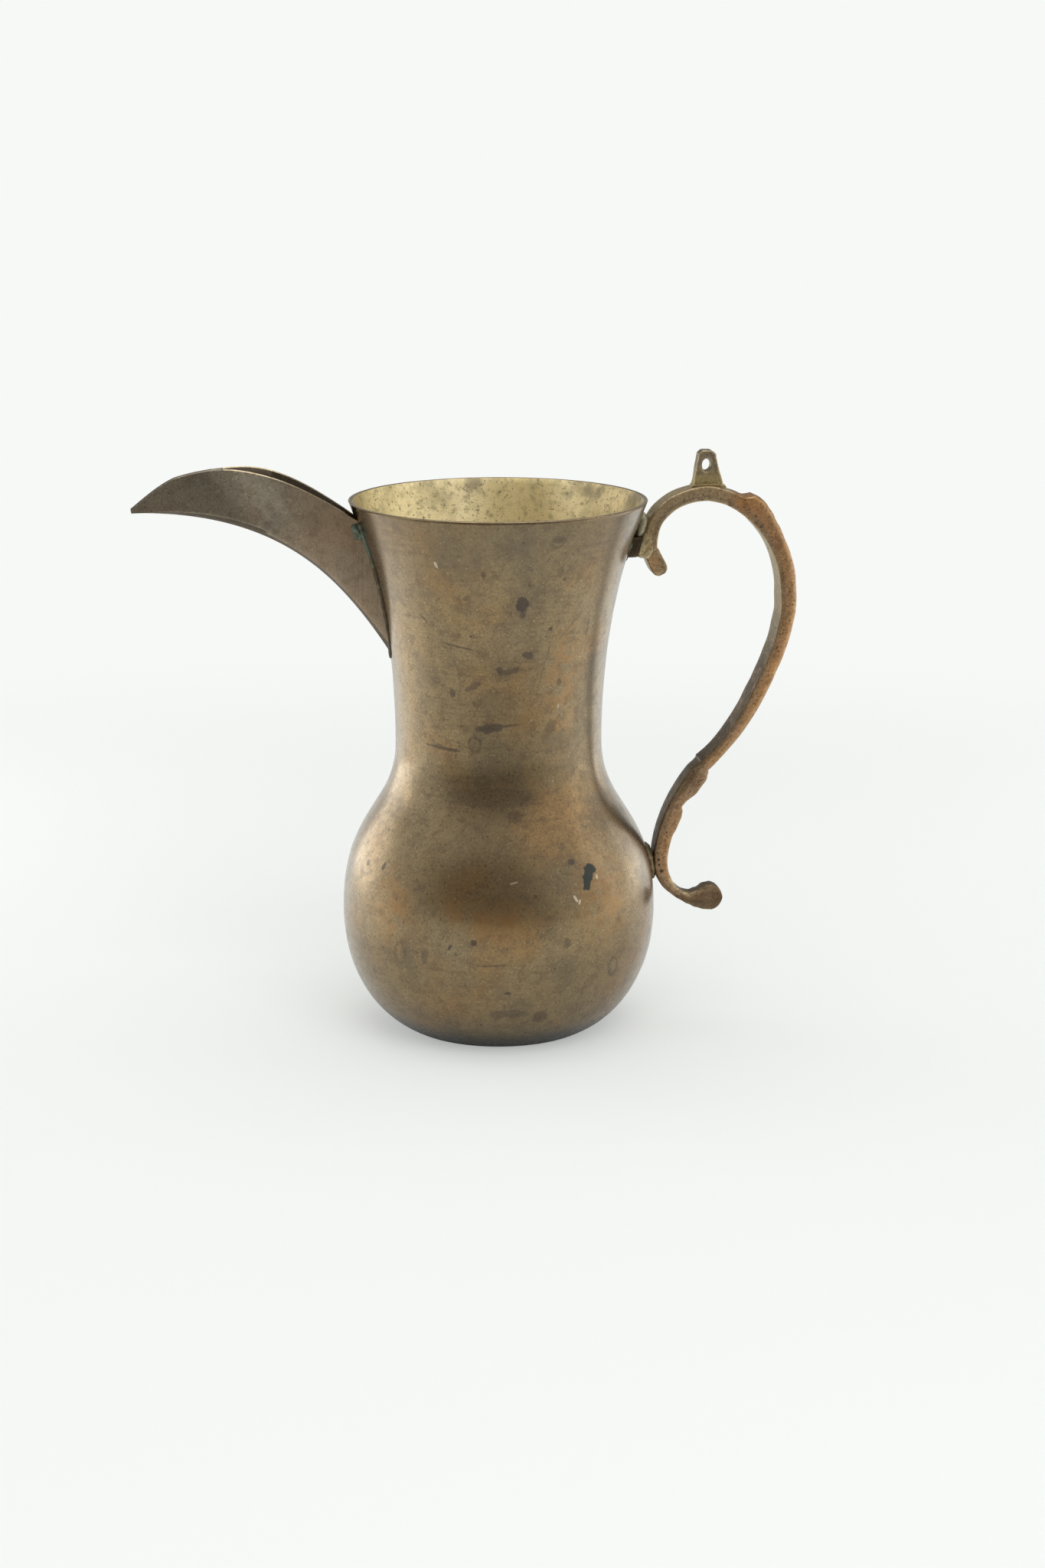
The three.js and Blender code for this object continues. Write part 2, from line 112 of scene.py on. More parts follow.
# Handle, in millimetres: six sweeps of the bar's middle line in the XZ plane
TAIL_TIP = (46.6, 131.1)
STEM = (43.1, 139.1)
CROWN = (59.4, 153.7)
GRIP = (83.2, 124.0)
LEAF = (60.1, 75.8)
JOINT = (46.8, 47.5)
HOOK_END = (60.2, 35.3)
KNOB_RADIUS = 3.85
KNOB_DEPTH = 5.6
KNOB_EDGE = 0.8
KNOB_OUT = 1.3
KNOB_STEPS = 10
BAR_SWEEPS = (
    (TAIL_TIP, (44.65, 135.1), (43.1, 137.55), STEM),
    (STEM, (43.1, 145.9), (47.7, 153.7), CROWN),
    (CROWN, (62.9, 153.7), (83.2, 149.0), GRIP),
    (GRIP, (83.2, 117.0), (75.93, 91.08), LEAF),
    (LEAF, (56.14, 71.98), (46.8, 58.5), JOINT),
    (JOINT, (46.8, 38.4), (53.0, 35.1), HOOK_END),
)
BAR_STEPS = (18, 34, 48, 60, 60, 36)
# Sections along each sweep: share of the way, inner side, outer side, depth and rounding of the outer edges
BAR_SECTIONS = (
    ((0, 1.1, 1.3, 6.6, 0.7), (0.06, 1.9, 2.1, 7.2, 0.7), (0.14, 2.3, 2.4, 7.4, 0.7), (0.6, 2.2, 2.3, 7.6, 0.7),
     (1, 1.8, 1.9, 8.0, 0.6)),
    ((0, 1.8, 1.9, 8.0, 0.6), (0.35, 1.55, 2.3, 8.0, 0.5), (0.6, 1.7, 2.15, 8.0, 0.5),
     (0.8, 1.8, 2.1, 8.0, 0.5), (1, 1.85, 2.3, 8.0, 0.5)),
    ((0, 1.85, 2.3, 8.0, 0.5), (0.25, 1.9, 2.2, 8.0, 0.6), (0.37, 2.1, 2.3, 8.2, 0.8),
     (0.395, 2.2, 2.5, 8.3, 0.9), (0.445, 2.3, 4.2, 8.4, 1.3), (0.5, 2.4, 4.5, 8.5, 1.6),
     (0.585, 2.6, 3.7, 8.9, 1.8), (0.65, 2.7, 2.85, 9.3, 1.8), (0.76, 2.75, 2.15, 9.8, 1.7),
     (1, 2.6, 2.2, 10.2, 1.8)),
    ((0, 2.6, 2.2, 10.2, 1.8), (0.2, 1.95, 2.55, 10.2, 1.8), (0.4, 1.55, 2.6, 10.0, 1.8),
     (0.6, 1.65, 2.45, 9.8, 1.8), (0.8, 1.4, 2.2, 9.6, 1.6), (0.96, 1.6, 1.8, 9.2, 1.2), (1, 1.8, 1.8, 9.0, 1.0)),
    ((0, 1.8, 1.8, 9.0, 1.0), (0.03, 2.0, 1.8, 8.8, 0.9), (0.07, 1.7, 1.7, 8.4, 0.8), (0.1, 1.8, 2.4, 7.8, 0.8),
     (0.2, 2.35, 3.4, 6.8, 0.8), (0.34, 2.35, 3.4, 6.8, 0.8), (0.5, 2.35, 1.7, 6.8, 0.7),
     (0.525, 2.3, 1.5, 6.8, 0.7), (0.545, 2.3, 2.4, 6.8, 0.7), (0.61, 2.2, 3.0, 6.8, 0.8),
     (0.7, 2.1, 2.95, 6.8, 0.8), (0.79, 2.0, 2.4, 6.8, 0.8), (1, 1.9, 2.1, 6.8, 0.8)),
    ((0, 1.9, 2.1, 6.8, 0.8), (0.3, 1.5, 2.0, 6.2, 0.8), (0.5, 1.25, 1.4, 5.6, 0.7), (0.66, 1.55, 1.1, 5.6, 0.7),
     (0.78, 2.1, 1.2, 5.6, 0.8), (0.88, 2.8, 2.1, 5.6, 0.8), (1, 3.5, 3.5, KNOB_DEPTH, KNOB_EDGE)),
)
# Tone of the casting along each sweep, from 0, dark brown, to 1, orange
BAR_TONES = (
    ((0, 0.5), (0.4, 0.9), (1, 0.7)), ((0, 0.6), (0.4, 0.4), (1, 0.5)),
    ((0, 0.5), (0.3, 0.6), (0.38, 1.0), (0.6, 0.8), (1, 0.65)), ((0, 0.65), (0.5, 0.85), (1, 0.6)),
    ((0, 0.45), (0.3, 0.4), (0.6, 0.6), (1, 0.7)), ((0, 0.7), (0.5, 0.5), (0.75, 0.2), (1, 0.1)),
)
INNER_EDGE = 0.5
EDGE_SHARE = 1.3
EDGE_POINTS = 5
FLAT_POINTS = 3
# Numbers of the section's points on its inner side, its outer side, beside its inner edges, where a groove's shade is
# painted, and on its ridge, which carries a painted highlight
INNER_START = 2 * (EDGE_POINTS + FLAT_POINTS) + 3
INNER_END = 3 * (EDGE_POINTS + FLAT_POINTS) + 1
OUTER_START = 3
OUTER_END = EDGE_POINTS + FLAT_POINTS + 1
GROOVE_SHADE_PLACES = (INNER_START - 4, INNER_START - 3, INNER_START - 2, INNER_END + 2, INNER_END + 3, INNER_END + 4)
RIDGE_START = EDGE_POINTS + FLAT_POINTS
RIDGE_END = RIDGE_START + EDGE_POINTS - 1
# Numbers of the rings where the arch ends, the hook starts and the painted highlight on its ridge fades out
ARCH_END = sum(BAR_STEPS[:2]) + 14
HOOK_START = sum(BAR_STEPS[:5]) + 10
RIDGE_FADE = (HOOK_START + 14, HOOK_START + 34)
ARCH_GREY = 0.38
HOOK_GREY = 0.6
# The arch's top strip is painted pale: partly worn, partly painted light from above
ARCH_WEAR_AND_TOP_LIGHT = 0.8
GRIP_WEAR = 0.35
# The hook's ridge carries a painted highlight
RIDGE_HIGHLIGHT = 1.5
# Points beside the inner edges are painted darker, a painted shade of a groove
GROOVE_SHADE = 0.35
# Unevenness of the sand castings and of the solder: size and depth
BAR_SAND = (5.0, 0.14)
PLATE_SAND = (2.5, 0.16)
BOSS_SAND = (2.0, 0.3)
SOLDER_LUMPS = (1.4, 0.45)

# Neck block, boss and hinge lug, in millimetres
BLOCK_LOW = 136.1
BLOCK_HIGH = 142.1
BLOCK_REACH = 3.4
BLOCK_DEPTH = 7.6
BLOCK_EDGE = 0.7
BOSS_OUTER = ((42.2, 135.6), (43.6, 137.4), (43.8, 140.2), (43.3, 142.6), (42.3, 143.9))
BOSS_DEPTH = 8.15
BOSS_EDGE = 0.5
LUG_CREST = 166.0
LUG_FOOT = 154.9
LUG_OUTLINE = ((64.4, LUG_FOOT), (63.8, 157.2), (62.8, 160.4), (61.8, 164.9), (60.6, LUG_CREST),
               (57.9, LUG_CREST), (56.9, 165.0), (56.2, 161.5), (55.7, 157.6), (55.0, LUG_FOOT))
LUG_DEPTH = 4.2
LUG_EDGE = 0.5
HOLE_MIDDLE = (59.1, 161.75)
HOLE_HALF = (1.42, 1.8)
HOLE_POINTS = 20
PLATE_FACET = 0.9
BRAZE_VOXEL = 0.25
BRAZE_SINK = 0.1
BRAZE_LUMP = (1.8, 0.15)

# Camera, fitted to the photograph
IMAGE_LONG_SIDE = 2048
FOCAL_PIXELS = 4300
SENSOR = 36.0
CAMERA_PLACE = (-120.86, -909.1, 293.67)
CAMERA_TURN = 8.0
CAMERA_DIP = 13.66


def bezier(points, t):
    a, b, c, d = (Vector(p) for p in points)
    s = 1 - t
    return a * s ** 3 + b * 3 * s * s * t + c * 3 * s * t * t + d * t ** 3


def smoothstep(value, low, high):
    t = min(max((value - low) / (high - low), 0), 1)
    return t * t * (3 - 2 * t)


def lerp(a, b, t):
    return a + (b - a) * t


def table(rows, share):
    """Values at a share of the way, from rows of a share and its values, joined by smooth steps."""
    for low, high in zip(rows, rows[1:]):
        if share <= high[0]:
            t = smoothstep(share, low[0], high[0])
            return [lerp(a, b, t) for a, b in zip(low[1:], high[1:])]
    return rows[-1][1:]


def body_line(inset, coarse=1):
    """Points of the outer profile from foot to rim, moved in by an inset."""
    line = []
    for points, steps in zip(BODY_SWEEPS, SWEEP_STEPS):
        steps = steps // coarse
        for i in range(1 if line else 0, steps + 1):
            t = i / steps
            here = bezier(points, t)
            along = (bezier(points, min(t + 0.001, 1)) - bezier(points, max(t - 0.001, 0))).normalized()
            line.append(Vector((here.x - along.y * inset, here.y + along.x * inset)))
    return line


OUTER_LINE = body_line(0)


def body_radius(height):
    """Outer radius of the body at a height, in millimetres."""
    for low, high in zip(OUTER_LINE, OUTER_LINE[1:]):
        if height <= high.y:
            return lerp(low.x, high.x, (height - low.y) / (high.y - low.y))
    return OUTER_LINE[-1].x


def finish_piece(name, bm, materials, replaces=(), sharp=None):
    """A piece in metres from a mesh in millimetres, smooth up to a sharp angle in degrees, riding on the body."""
    bmesh.ops.transform(bm, matrix=Matrix.Scale(MM, 4), verts=bm.verts)
    mesh = bpy.data.meshes.new(name)
    bm.to_mesh(mesh)
    bm.free()
    for material in materials:
        mesh.materials.append(material)
    mesh.shade_smooth()
    if sharp:
        mesh.set_sharp_from_angle(angle=math.radians(sharp))
    piece = bpy.data.objects.new(name, mesh)
    bpy.context.scene.collection.objects.link(piece)
    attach(piece, "root")
    if replaces:
        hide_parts(*replaces)
    return piece


# Materials

def rgb(code):
    """An sRGB hex colour as linear red, green, blue and alpha."""
    values = [int(code[i:i + 2], 16) / 255 for i in (1, 3, 5)]
    linear = [v / 12.92 if v <= 0.04045 else ((v + 0.055) / 1.055) ** 2.4 for v in values]
    return (*linear, 1.0)


def add(tree, kind, inputs=(), out=0, **settings):
    """Adds a shader node with its settings, links or sets its inputs, given in order or by name, and gives one of
    its outputs."""
    made = tree.nodes.new("ShaderNode" + kind)
    for key, value in settings.items():
        setattr(made, key, value)
    for key, value in inputs.items() if isinstance(inputs, dict) else enumerate(inputs):
        if isinstance(value, bpy.types.NodeSocket):
            tree.links.new(value, made.inputs[key])
        else:
            made.inputs[key].default_value = value
    return made.outputs[out]


# Setting of a range that eases in and out, and roughness of the noise in every mask of patches
SMOOTH = {"interpolation_type": "SMOOTHSTEP"}
GRAIN_ROUGHNESS = 0.55


def per_metre(size_mm):
    """Pattern scale on metres for features of a size in millimetres."""
    return 1 / (size_mm * MM)


def start_material(name, metallic):
    """A new material with its nodes and its shader."""
    material = bpy.data.materials.new(name)
    material.use_nodes = True
    shader = material.node_tree.nodes["Principled BSDF"]
    shader.inputs["Metallic"].default_value = metallic
    return material, material.node_tree, shader


def finish_surface(tree, shader, colour, rough, lift, strength, depth_mm):
    """Gives a shader its colour, its roughness and a bump of a depth in millimetres."""
    bump = add(tree, "Bump", {"Height": lift, "Strength": strength, "Distance": depth_mm * MM})
    tree.links.new(colour, shader.inputs["Base Color"])
    tree.links.new(rough, shader.inputs["Roughness"])
    tree.links.new(bump, shader.inputs["Normal"])


def grain(tree, place, size_mm, low, high, detail, seed, within=None):
    """A mask of patches of a real size, with the part of the noise between low and high spread out. It can be
    kept within another mask."""
    noisy = add(tree, "TexNoise", {"Vector": place, "W": seed, "Scale": per_metre(size_mm), "Detail": detail,
                "Roughness": GRAIN_ROUGHNESS}, noise_dimensions="4D")
    mask = add(tree, "MapRange", (noisy, low, high), **SMOOTH)
    return mask if within is None else add(tree, "Math", (within, mask), operation="MULTIPLY")


def tint(tree, mask, under, code, strength):
    """A colour laid over another where a mask is set."""
    amount = add(tree, "Math", (mask, strength), operation="MULTIPLY")
    return add(tree, "Mix", {0: amount, 6: under, 7: rgb(code)}, data_type="RGBA", out=2)


def stain(tree, place, colour, layers):
    """Patches laid over a colour. A layer has a size in millimetres, the ends of the noise that shows, the
    noise's detail and seed, a colour and a strength."""
    for *patches, code, strength in layers:
        colour = tint(tree, grain(tree, place, *patches), colour, code, strength)
    return colour


def shade_by_height(tree, place, colour, bands):
    """Colours laid over a colour by height. A band has the heights in millimetres where it starts and is full,
    a colour and a strength."""
    height = add(tree, "SeparateXYZ", (place,), out="Z")
    for start, full, code, strength in bands:
        mask = add(tree, "MapRange", (height, start * MM, full * MM), **SMOOTH)
        colour = tint(tree, mask, colour, code, strength)
    return colour


# Layers of patina, as stain takes them. Real dust, freckles, casting grit and file strokes are finer than 0.2 mm.
# Here and below they are drawn coarser, at 0.45 to 1 mm, because they wouldn't show in the picture.
PATINA_MOTTLE = (2.6, 0.42, 0.72, 7, 7.7)
PATINA_SPECKS = (
    (0.6, 0.35, 0.68, 3, 6.6, "#5b4a39", 0.34),
    (12, 0.5, 0.66, 6, 1.9, "#5f574a", 0.36),
    (0.6, 0.55, 0.7, 3, 5.3, "#493d30", 0.58),
    (0.8, 0.58, 0.74, 2, 9.1, "#c4ab80", 0.45),
)
PIT_SPACING = 4.5
PIT_REACH = (0.085, 0.045)
# The wall is greyer at the collar. Low on the belly it is painted browner, a painted reflection of the shadowed floor
# in front, and at the foot nearly black, a painted contact shadow
BODY_BANDS_AND_PAINTED_SHADE = ((122, 152, "#625849", 0.36), (38, 26, "#4f4332", 0.16), (10, 1, "#201b15", 1.0))

# Marks on the body: azimuth and height of the middle, half width and half height in millimetres, turn in
# degrees, strength
DARK_MARKS = (
    (-86.5, 129.2, 2, 2.5, 0, 0.85), (-86, 126.4, 0.9, 1.5, 0, 0.6), (-82.3, 114.3, 1.9, 1.2, -10, 0.7),
    (-92, 109.9, 3.4, 0.9, 10, 0.5), (-97, 110.4, 0.9, 1, 0, 0.6), (-122.5, 103.2, 1, 1.3, 0, 0.55),
    (-111.2, 105.4, 2.5, 1, 25, 0.5), (-101.7, 93.7, 4, 1.5, 5, 0.75), (-95, 94.3, 5, 0.4, 4, 0.6),
    (-129.5, 87.2, 6.2, 0.5, -3, 0.65), (-131.5, 87.6, 1.6, 0.8, 0, 0.5), (-67.8, 93.5, 1.8, 2.2, 20, 0.4),
    (-73.5, 147.4, 1.8, 1, 0, 0.55), (-105.8, 77.9, 2.6, 2.6, 0, 0.35), (-89.9, 69.4, 2.8, 1.7, 0, 0.45),
    (-115.3, 34.6, 0.5, 1, -30, 0.8), (-106.5, 36.4, 0.9, 1.1, 0, 0.75), (-125.3, 31.3, 1.4, 2.6, 0, 0.4),
    (-147.9, 53.6, 0.7, 1.2, -20, 0.8), (-158.5, 53, 0.9, 0.9, 0, 0.6), (-67.7, 57, 1.2, 0.8, 0, 0.7),
    (-94.3, 21.3, 1, 0.5, 0, 0.8), (-99.6, 29.8, 4.6, 0.3, 3, 0.6), (-93.5, 14.5, 5.5, 1.5, 0, 0.45),
    (-80.7, 13, 2.3, 2.2, 0, 0.5), (-28.9, 117.5, 0.8, 1.1, 0, 0.7), (-71.4, 121.6, 0.7, 0.7, 0, 0.7),
    (-67.4, 135.8, 0.6, 0.6, 0, 0.6), (-72.5, 35, 1.2, 1.5, 0, 0.45), (-84, 49, 0.5, 0.5, 0, 0.6),
    (20, 61, 3.2, 1.7, 15, 0.5), (64, 96, 2.2, 2.8, 0, 0.6), (118, 44, 4.5, 1.4, -8, 0.5),
    (96, 122, 1.6, 1.6, 0, 0.6), (142, 75, 2.2, 1.2, 0, 0.5), (75, 24, 2.6, 2, 0, 0.4),
    (-118, 116.8, 5.5, 0.22, -8, 0.7), (-136, 124, 2.2, 0.3, -35, 0.7), (-74, 110, 7.5, 0.22, 72, 0.4),
    (-60, 122, 6, 0.22, 40, 0.4), (-104, 138, 0.7, 1, 0, 0.6), (-112, 131, 1.3, 0.8, 20, 0.4),
    # The wide flat blot at azimuth -100 and height 74.2 is a painted reflection: a dark band across the shoulder's
    # front
    (-99, 101, 6.5, 5, 0, 0.18), (-100, 74.2, 13, 3, 0, 0.32), (-70, 138, 1.4, 1.8, 0, 0.4),
    (-64, 106, 0.8, 1.2, 0, 0.5), (-48, 121, 0.5, 3, 0, 0.5), (170, 100, 5, 0.4, 4, 0.5),
    (50, 132, 4, 0.3, -20, 0.5), (100, 100, 6, 5, 0, 0.3), (30, 40, 3.4, 2.6, 10, 0.35),
)
RING_MARKS = (
    (-110.5, 89.2, 1.7, 2.2, -15, 0.6), (-135.6, 30.9, 1.8, 2.9, 0, 0.5), (-50.8, 25.4, 1.8, 2.6, 10, 0.6),
    (-73.5, 147, 2, 1.6, 0, 0.5), (105, 68, 2.1, 2.6, 0, 0.45),
)
SCAB_MARKS = ((-61.5, 52.6, 1.5, 3.6, -25, 1), (-60, 54.4, 1.9, 1.5, 0, 1), (-62.6, 50.6, 1, 1.6, 0, 1))
CHIP_MARKS = (
    (-68.3, 47.3, 0.45, 1.1, 30, 0.9), (-66.8, 46.2, 0.35, 0.8, -20, 0.8), (-91.9, 52.8, 1.3, 0.25, 14, 0.7),
    (-124.6, 140.2, 0.45, 1.2, 25, 0.8), (-57.5, 52, 0.4, 0.8, 0, 0.6), (-63.8, 99, 0.4, 0.7, 0, 0.4),
)
ORANGE_PATCHES = (
    (-62.7, 104, 7, 26, 0, 0.75), (-88, 95, 9, 7, 10, 0.5), (-56, 47, 14, 15, 0, 0.7),
    (-140, 42, 9, 16, 0, 0.6), (-100, 42, 18, 8, 0, 0.8), (40, 100, 10, 22, 0, 0.5),
    (110, 35, 16, 14, 0, 0.6),
)
MAP_RADIUS = 40.0
BLOT_REACH = 1.12
RING_HALF = 0.35
WOBBLE_SIZE = 1.3
WOBBLE = 0.28
TURNING_SCALE = (0.03, 0.9, 1)
# File strokes on the cheeks: tilt in degrees, size and X where they fade in, in millimetres
STROKE_TILT = -14
STROKE_SIZE = (0.5, 30, 30)
STROKE_FADE = (-66, -42)
# Share of the clear coat, and its roughness on a marked piece and on others
COAT = 0.45
COAT_ROUGHNESS = (0.26, 0.3)


def marks_mask(tree, flat, wobble, marks, edge, ring=False):
    """The strongest of a set of blots, each an ellipse on the unrolled wall with an uneven edge."""
    total = None
    for azimuth, height, wide, tall, turn, strength in marks:
        widen = MAP_RADIUS / body_radius(height)
        middle = (math.radians(azimuth + 90) * MAP_RADIUS, height, 0)
        local = add(tree, "Mapping", {"Vector": flat, "Location": middle,
                    "Rotation": (0, 0, math.radians(turn)), "Scale": (wide * widen, tall, 1)},
                    vector_type="TEXTURE")
        reach = add(tree, "VectorMath", (local,), operation="LENGTH", out="Value")
        reach = add(tree, "Math", (reach, wobble), operation="ADD")
        if ring:
            reach = add(tree, "Math", (reach, 1.0), operation="SUBTRACT")
            reach = add(tree, "Math", (reach,), operation="ABSOLUTE")
        start, full = (RING_HALF, 0.0) if ring else (BLOT_REACH, BLOT_REACH - edge)
        mask = add(tree, "MapRange", (reach, start, full, 0.0, strength), **SMOOTH)
        total = add(tree, "Math", (total, mask), operation="MAXIMUM") if total else mask
    return total


def mark_body(tree, place, colour, rough, lift):
    """Long use on the wall: warm patches, dark blots, rings, a scab, bright chips and the streaks of turning, and bands
    by height. One wide blot on the shoulder is a painted reflection of a dark band, and the bands paint shade low on
    the belly and at the foot.
    """
    flat = add(tree, "UVMap", uv_map="unrolled")
    wobble = add(tree, "TexNoise", {"Vector": place, "Scale": per_metre(WOBBLE_SIZE), "Detail": 5.0,
                 "Roughness": 0.65})
    wobble = add(tree, "MapRange", (wobble, 0.3, 0.7, -WOBBLE, WOBBLE))
    warmth = marks_mask(tree, flat, wobble, ORANGE_PATCHES, 0.9)
    warmth = grain(tree, place, 3.4, 0.36, 0.62, 6, 8.8, within=warmth)
    dark = marks_mask(tree, flat, wobble, DARK_MARKS, 0.4)
    rings = marks_mask(tree, flat, wobble, RING_MARKS, 0.45, ring=True)
    scab = marks_mask(tree, flat, wobble, SCAB_MARKS, 0.25)
    chips = marks_mask(tree, flat, wobble, CHIP_MARKS, 0.4)
    for mask, code, strength in ((warmth, "#9c7345", 0.75), (dark, "#473d3a", 0.95), (rings, "#4c4136", 0.85),
                                 (scab, "#3a3d38", 1.0), (chips, "#d9cdb2", 1.0)):
        colour = tint(tree, mask, colour, code, strength)
    # Greyer collar, and painted shade low on the belly and at the foot
    colour = shade_by_height(tree, place, colour, BODY_BANDS_AND_PAINTED_SHADE)
    turning = add(tree, "Mapping", {"Vector": flat, "Scale": TURNING_SCALE})
    lines = add(tree, "TexNoise", {"Vector": turning, "Scale": 1.0, "Detail": 5.0, "Roughness": 0.7})
    streak = add(tree, "MapRange", (lines, 0.48, 0.66))
    streak = grain(tree, place, 18, 0.42, 0.62, 3, 2.7, within=streak)
    colour = tint(tree, streak, colour, "#5f503d", 0.34)
    heavy = add(tree, "Math", (dark, scab), operation="MAXIMUM")
    for mask, amount in ((heavy, 0.14), (lines, 0.1)):
        rough = add(tree, "Math", (mask, amount, rough), operation="MULTIPLY_ADD")
    for mask, amount in ((rings, -0.8), (scab, 0.6), (lines, 0.35)):
        lift = add(tree, "Math", (mask, amount, lift), operation="MULTIPLY_ADD")
    return colour, rough, lift


def brush_spout(tree, place, colour, lift):
    """File strokes across the cheeks, which are warmer and more scored towards the root."""
    strokes = add(tree, "Mapping", {"Vector": place, "Rotation": (0, math.radians(STROKE_TILT), 0),
                  "Scale": [per_metre(size) for size in STROKE_SIZE]})
    strokes = add(tree, "TexNoise", {"Vector": strokes, "Scale": 1.0, "Detail": 3.0})
    out = add(tree, "SeparateXYZ", (place,), out="X")
    near = add(tree, "MapRange", (out, STROKE_FADE[0] * MM, STROKE_FADE[1] * MM), **SMOOTH)
    scored = add(tree, "MapRange", (strokes, 0.52, 0.68))
    scored = add(tree, "Math", (scored, near), operation="MULTIPLY")
    colour = tint(tree, scored, colour, "#4f4234", 0.35)
    colour = tint(tree, near, colour, "#947658", 0.4)
    return colour, add(tree, "Math", (scored, -0.5, lift), operation="MULTIPLY_ADD")


def make_patina(name, base, cool, warm, roughness, marked=False, brushed=False):
    """Old satin brass: olive and orange-brown clouds, fine dark freckles and small pits under a thin clear coat,
    which gives it a soft shine. A marked piece carries blots and shines more where it turns away."""
    material, tree, shader = start_material(name, 1.0)
    place = add(tree, "TexCoord", out="Object")
    mottle = grain(tree, place, *PATINA_MOTTLE)
    colour = stain(tree, place, rgb(base), ((30, 0.38, 0.66, 4, 0.0, cool, 0.6), (24, 0.46, 0.66, 4, 3.1, warm, 0.7)))
    colour = tint(tree, mottle, colour, "#65533f", 0.45)
    colour = stain(tree, place, colour, PATINA_SPECKS)
    cells = add(tree, "TexVoronoi", {"Vector": place, "Scale": per_metre(PIT_SPACING), "Randomness": 1.0},
                out="Distance")
    pit = add(tree, "MapRange", (cells, *PIT_REACH), **SMOOTH)
    pit = grain(tree, place, 11, 0.5, 0.6, 4, 4.4, within=pit)
    colour = tint(tree, pit, colour, "#3c332a", 0.85)
    rough = add(tree, "MapRange", {"Value": mottle, "To Min": roughness, "To Max": roughness + 0.1})
    lift = add(tree, "Math", (mottle, -0.25), operation="MULTIPLY")
    if marked:
        colour, rough, lift = mark_body(tree, place, colour, rough, lift)
        turned = add(tree, "LayerWeight", {"Blend": 0.5}, out="Facing")
        sheen = add(tree, "MapRange", (turned, 0.35, 0.8, 1.0, 0.8), **SMOOTH)
        rough = add(tree, "Math", (rough, sheen), operation="MULTIPLY")
    if brushed:
        colour, lift = brush_spout(tree, place, colour, lift)
    lift = add(tree, "Math", (pit, -1.0, lift), operation="MULTIPLY_ADD")
    finish_surface(tree, shader, colour, rough, lift, strength=0.35, depth_mm=0.12)
    shader.inputs["Coat Weight"].default_value = COAT
    shader.inputs["Coat Roughness"].default_value = COAT_ROUGHNESS[0] if marked else COAT_ROUGHNESS[1]
    return material


# Colour of the inner wall from the spout's side to the handle's side, as shares of the way: pale brass in bands of
# painted light and shade
INSIDE_PAINTED_LIGHT_BANDS = ((0.02, "#b39c63"), (0.12, "#f0dca4"), (0.42, "#fae9ba"), (0.55, "#cdbb88"), (0.7, "#c6b27c"),
                (0.8, "#f2dfae"), (0.97, "#ecd6a4"))
# Brown stains and freckles of the inner wall, which is smoky at the lip. Deeper down, towards the belly, it is painted
# darker as shade inside the neck
INSIDE_STAINS = (
    (16, 0.4, 0.6, 4, 0.0, "#c3b080", 0.5),
    (7, 0.5, 0.68, 6, 2.2, "#ad9e72", 0.45),
    (2.4, 0.5, 0.68, 6, 6.0, "#8a7c57", 0.55),
    (0.9, 0.58, 0.7, 3, 8.3, "#5a4f3a", 0.8),
    (0.45, 0.6, 0.7, 2, 9.9, "#4c4231", 0.7),
)
INSIDE_PAINTED_SHADE = ((125, 60, "#6d5a38", 0.8),)
LIP_STAIN = (142, 152)


def make_inside():
    """Bare yellow brass inside the neck: pale and scoured, with brown stains and dark freckles, bands of painted light
    and shade across it, and painted shade deeper down.
    """
    material, tree, shader = start_material("scoured_yellow_brass", 0.45)
    place = add(tree, "TexCoord", out="Object")
    apart = add(tree, "SeparateXYZ", (place,)).node.outputs
    share = add(tree, "MapRange", (apart["X"], -RIM[0] * MM, RIM[0] * MM))
    # Painted light and shade in bands across the inner wall
    bands = add(tree, "ValToRGB", (share,))
    for spot, code in INSIDE_PAINTED_LIGHT_BANDS:
        bands.node.color_ramp.elements.new(spot).color = rgb(code)
    colour = stain(tree, place, bands, INSIDE_STAINS)
    lip = add(tree, "MapRange", (apart["Z"], LIP_STAIN[0] * MM, LIP_STAIN[1] * MM), **SMOOTH)
    smoky = grain(tree, place, 8, 0.48, 0.64, 6, 7.1, within=lip)
    colour = tint(tree, smoky, colour, "#8b7f66", 0.7)
    # Painted shade: darker deeper inside the neck
    colour = shade_by_height(tree, place, colour, INSIDE_PAINTED_SHADE)
    grit = grain(tree, place, 1.4, 0.3, 0.7, 6, 3.0)
    rough = add(tree, "MapRange", {"Value": grit, "To Min": 0.42, "To Max": 0.58})
    finish_surface(tree, shader, colour, rough, grit, strength=0.3, depth_mm=0.1)
    return material


CAST_STAINS = ((2.4, 0.48, 0.72, 6, 2.0, "#6b5139", 0.5), (5.0, 0.56, 0.72, 5, 5.0, "#857a52", 0.4))
# Tones of the bar and what they lay over it: tone where it starts, tone where it is full, colour, strength
CAST_TONES = ((0.45, 1.0, "#c8935f", 0.8), (0.45, 0.05, "#5f4f41", 0.8))
# The bar's bare sides are painted dark below and pale above, as light falling from above: heights in millimetres and
# colours
BARE_LIGHT_HEIGHTS = (102, 150)
BARE_LIGHT_COLOURS = ("#594930", "#b8a986")
# Casting holes on the near face by the lower joint, drawn as dark spots of painted shade inside the holes: place and
# half width, in millimetres
JOINT_PITS = ((46.15, -3.4, 47.55, 0.6), (46.4, -3.4, 45.9, 0.5), (47.1, -3.35, 44.1, 0.8), (45.7, -3.4, 49.6, 0.4))
CROWN_FADE = 1.5


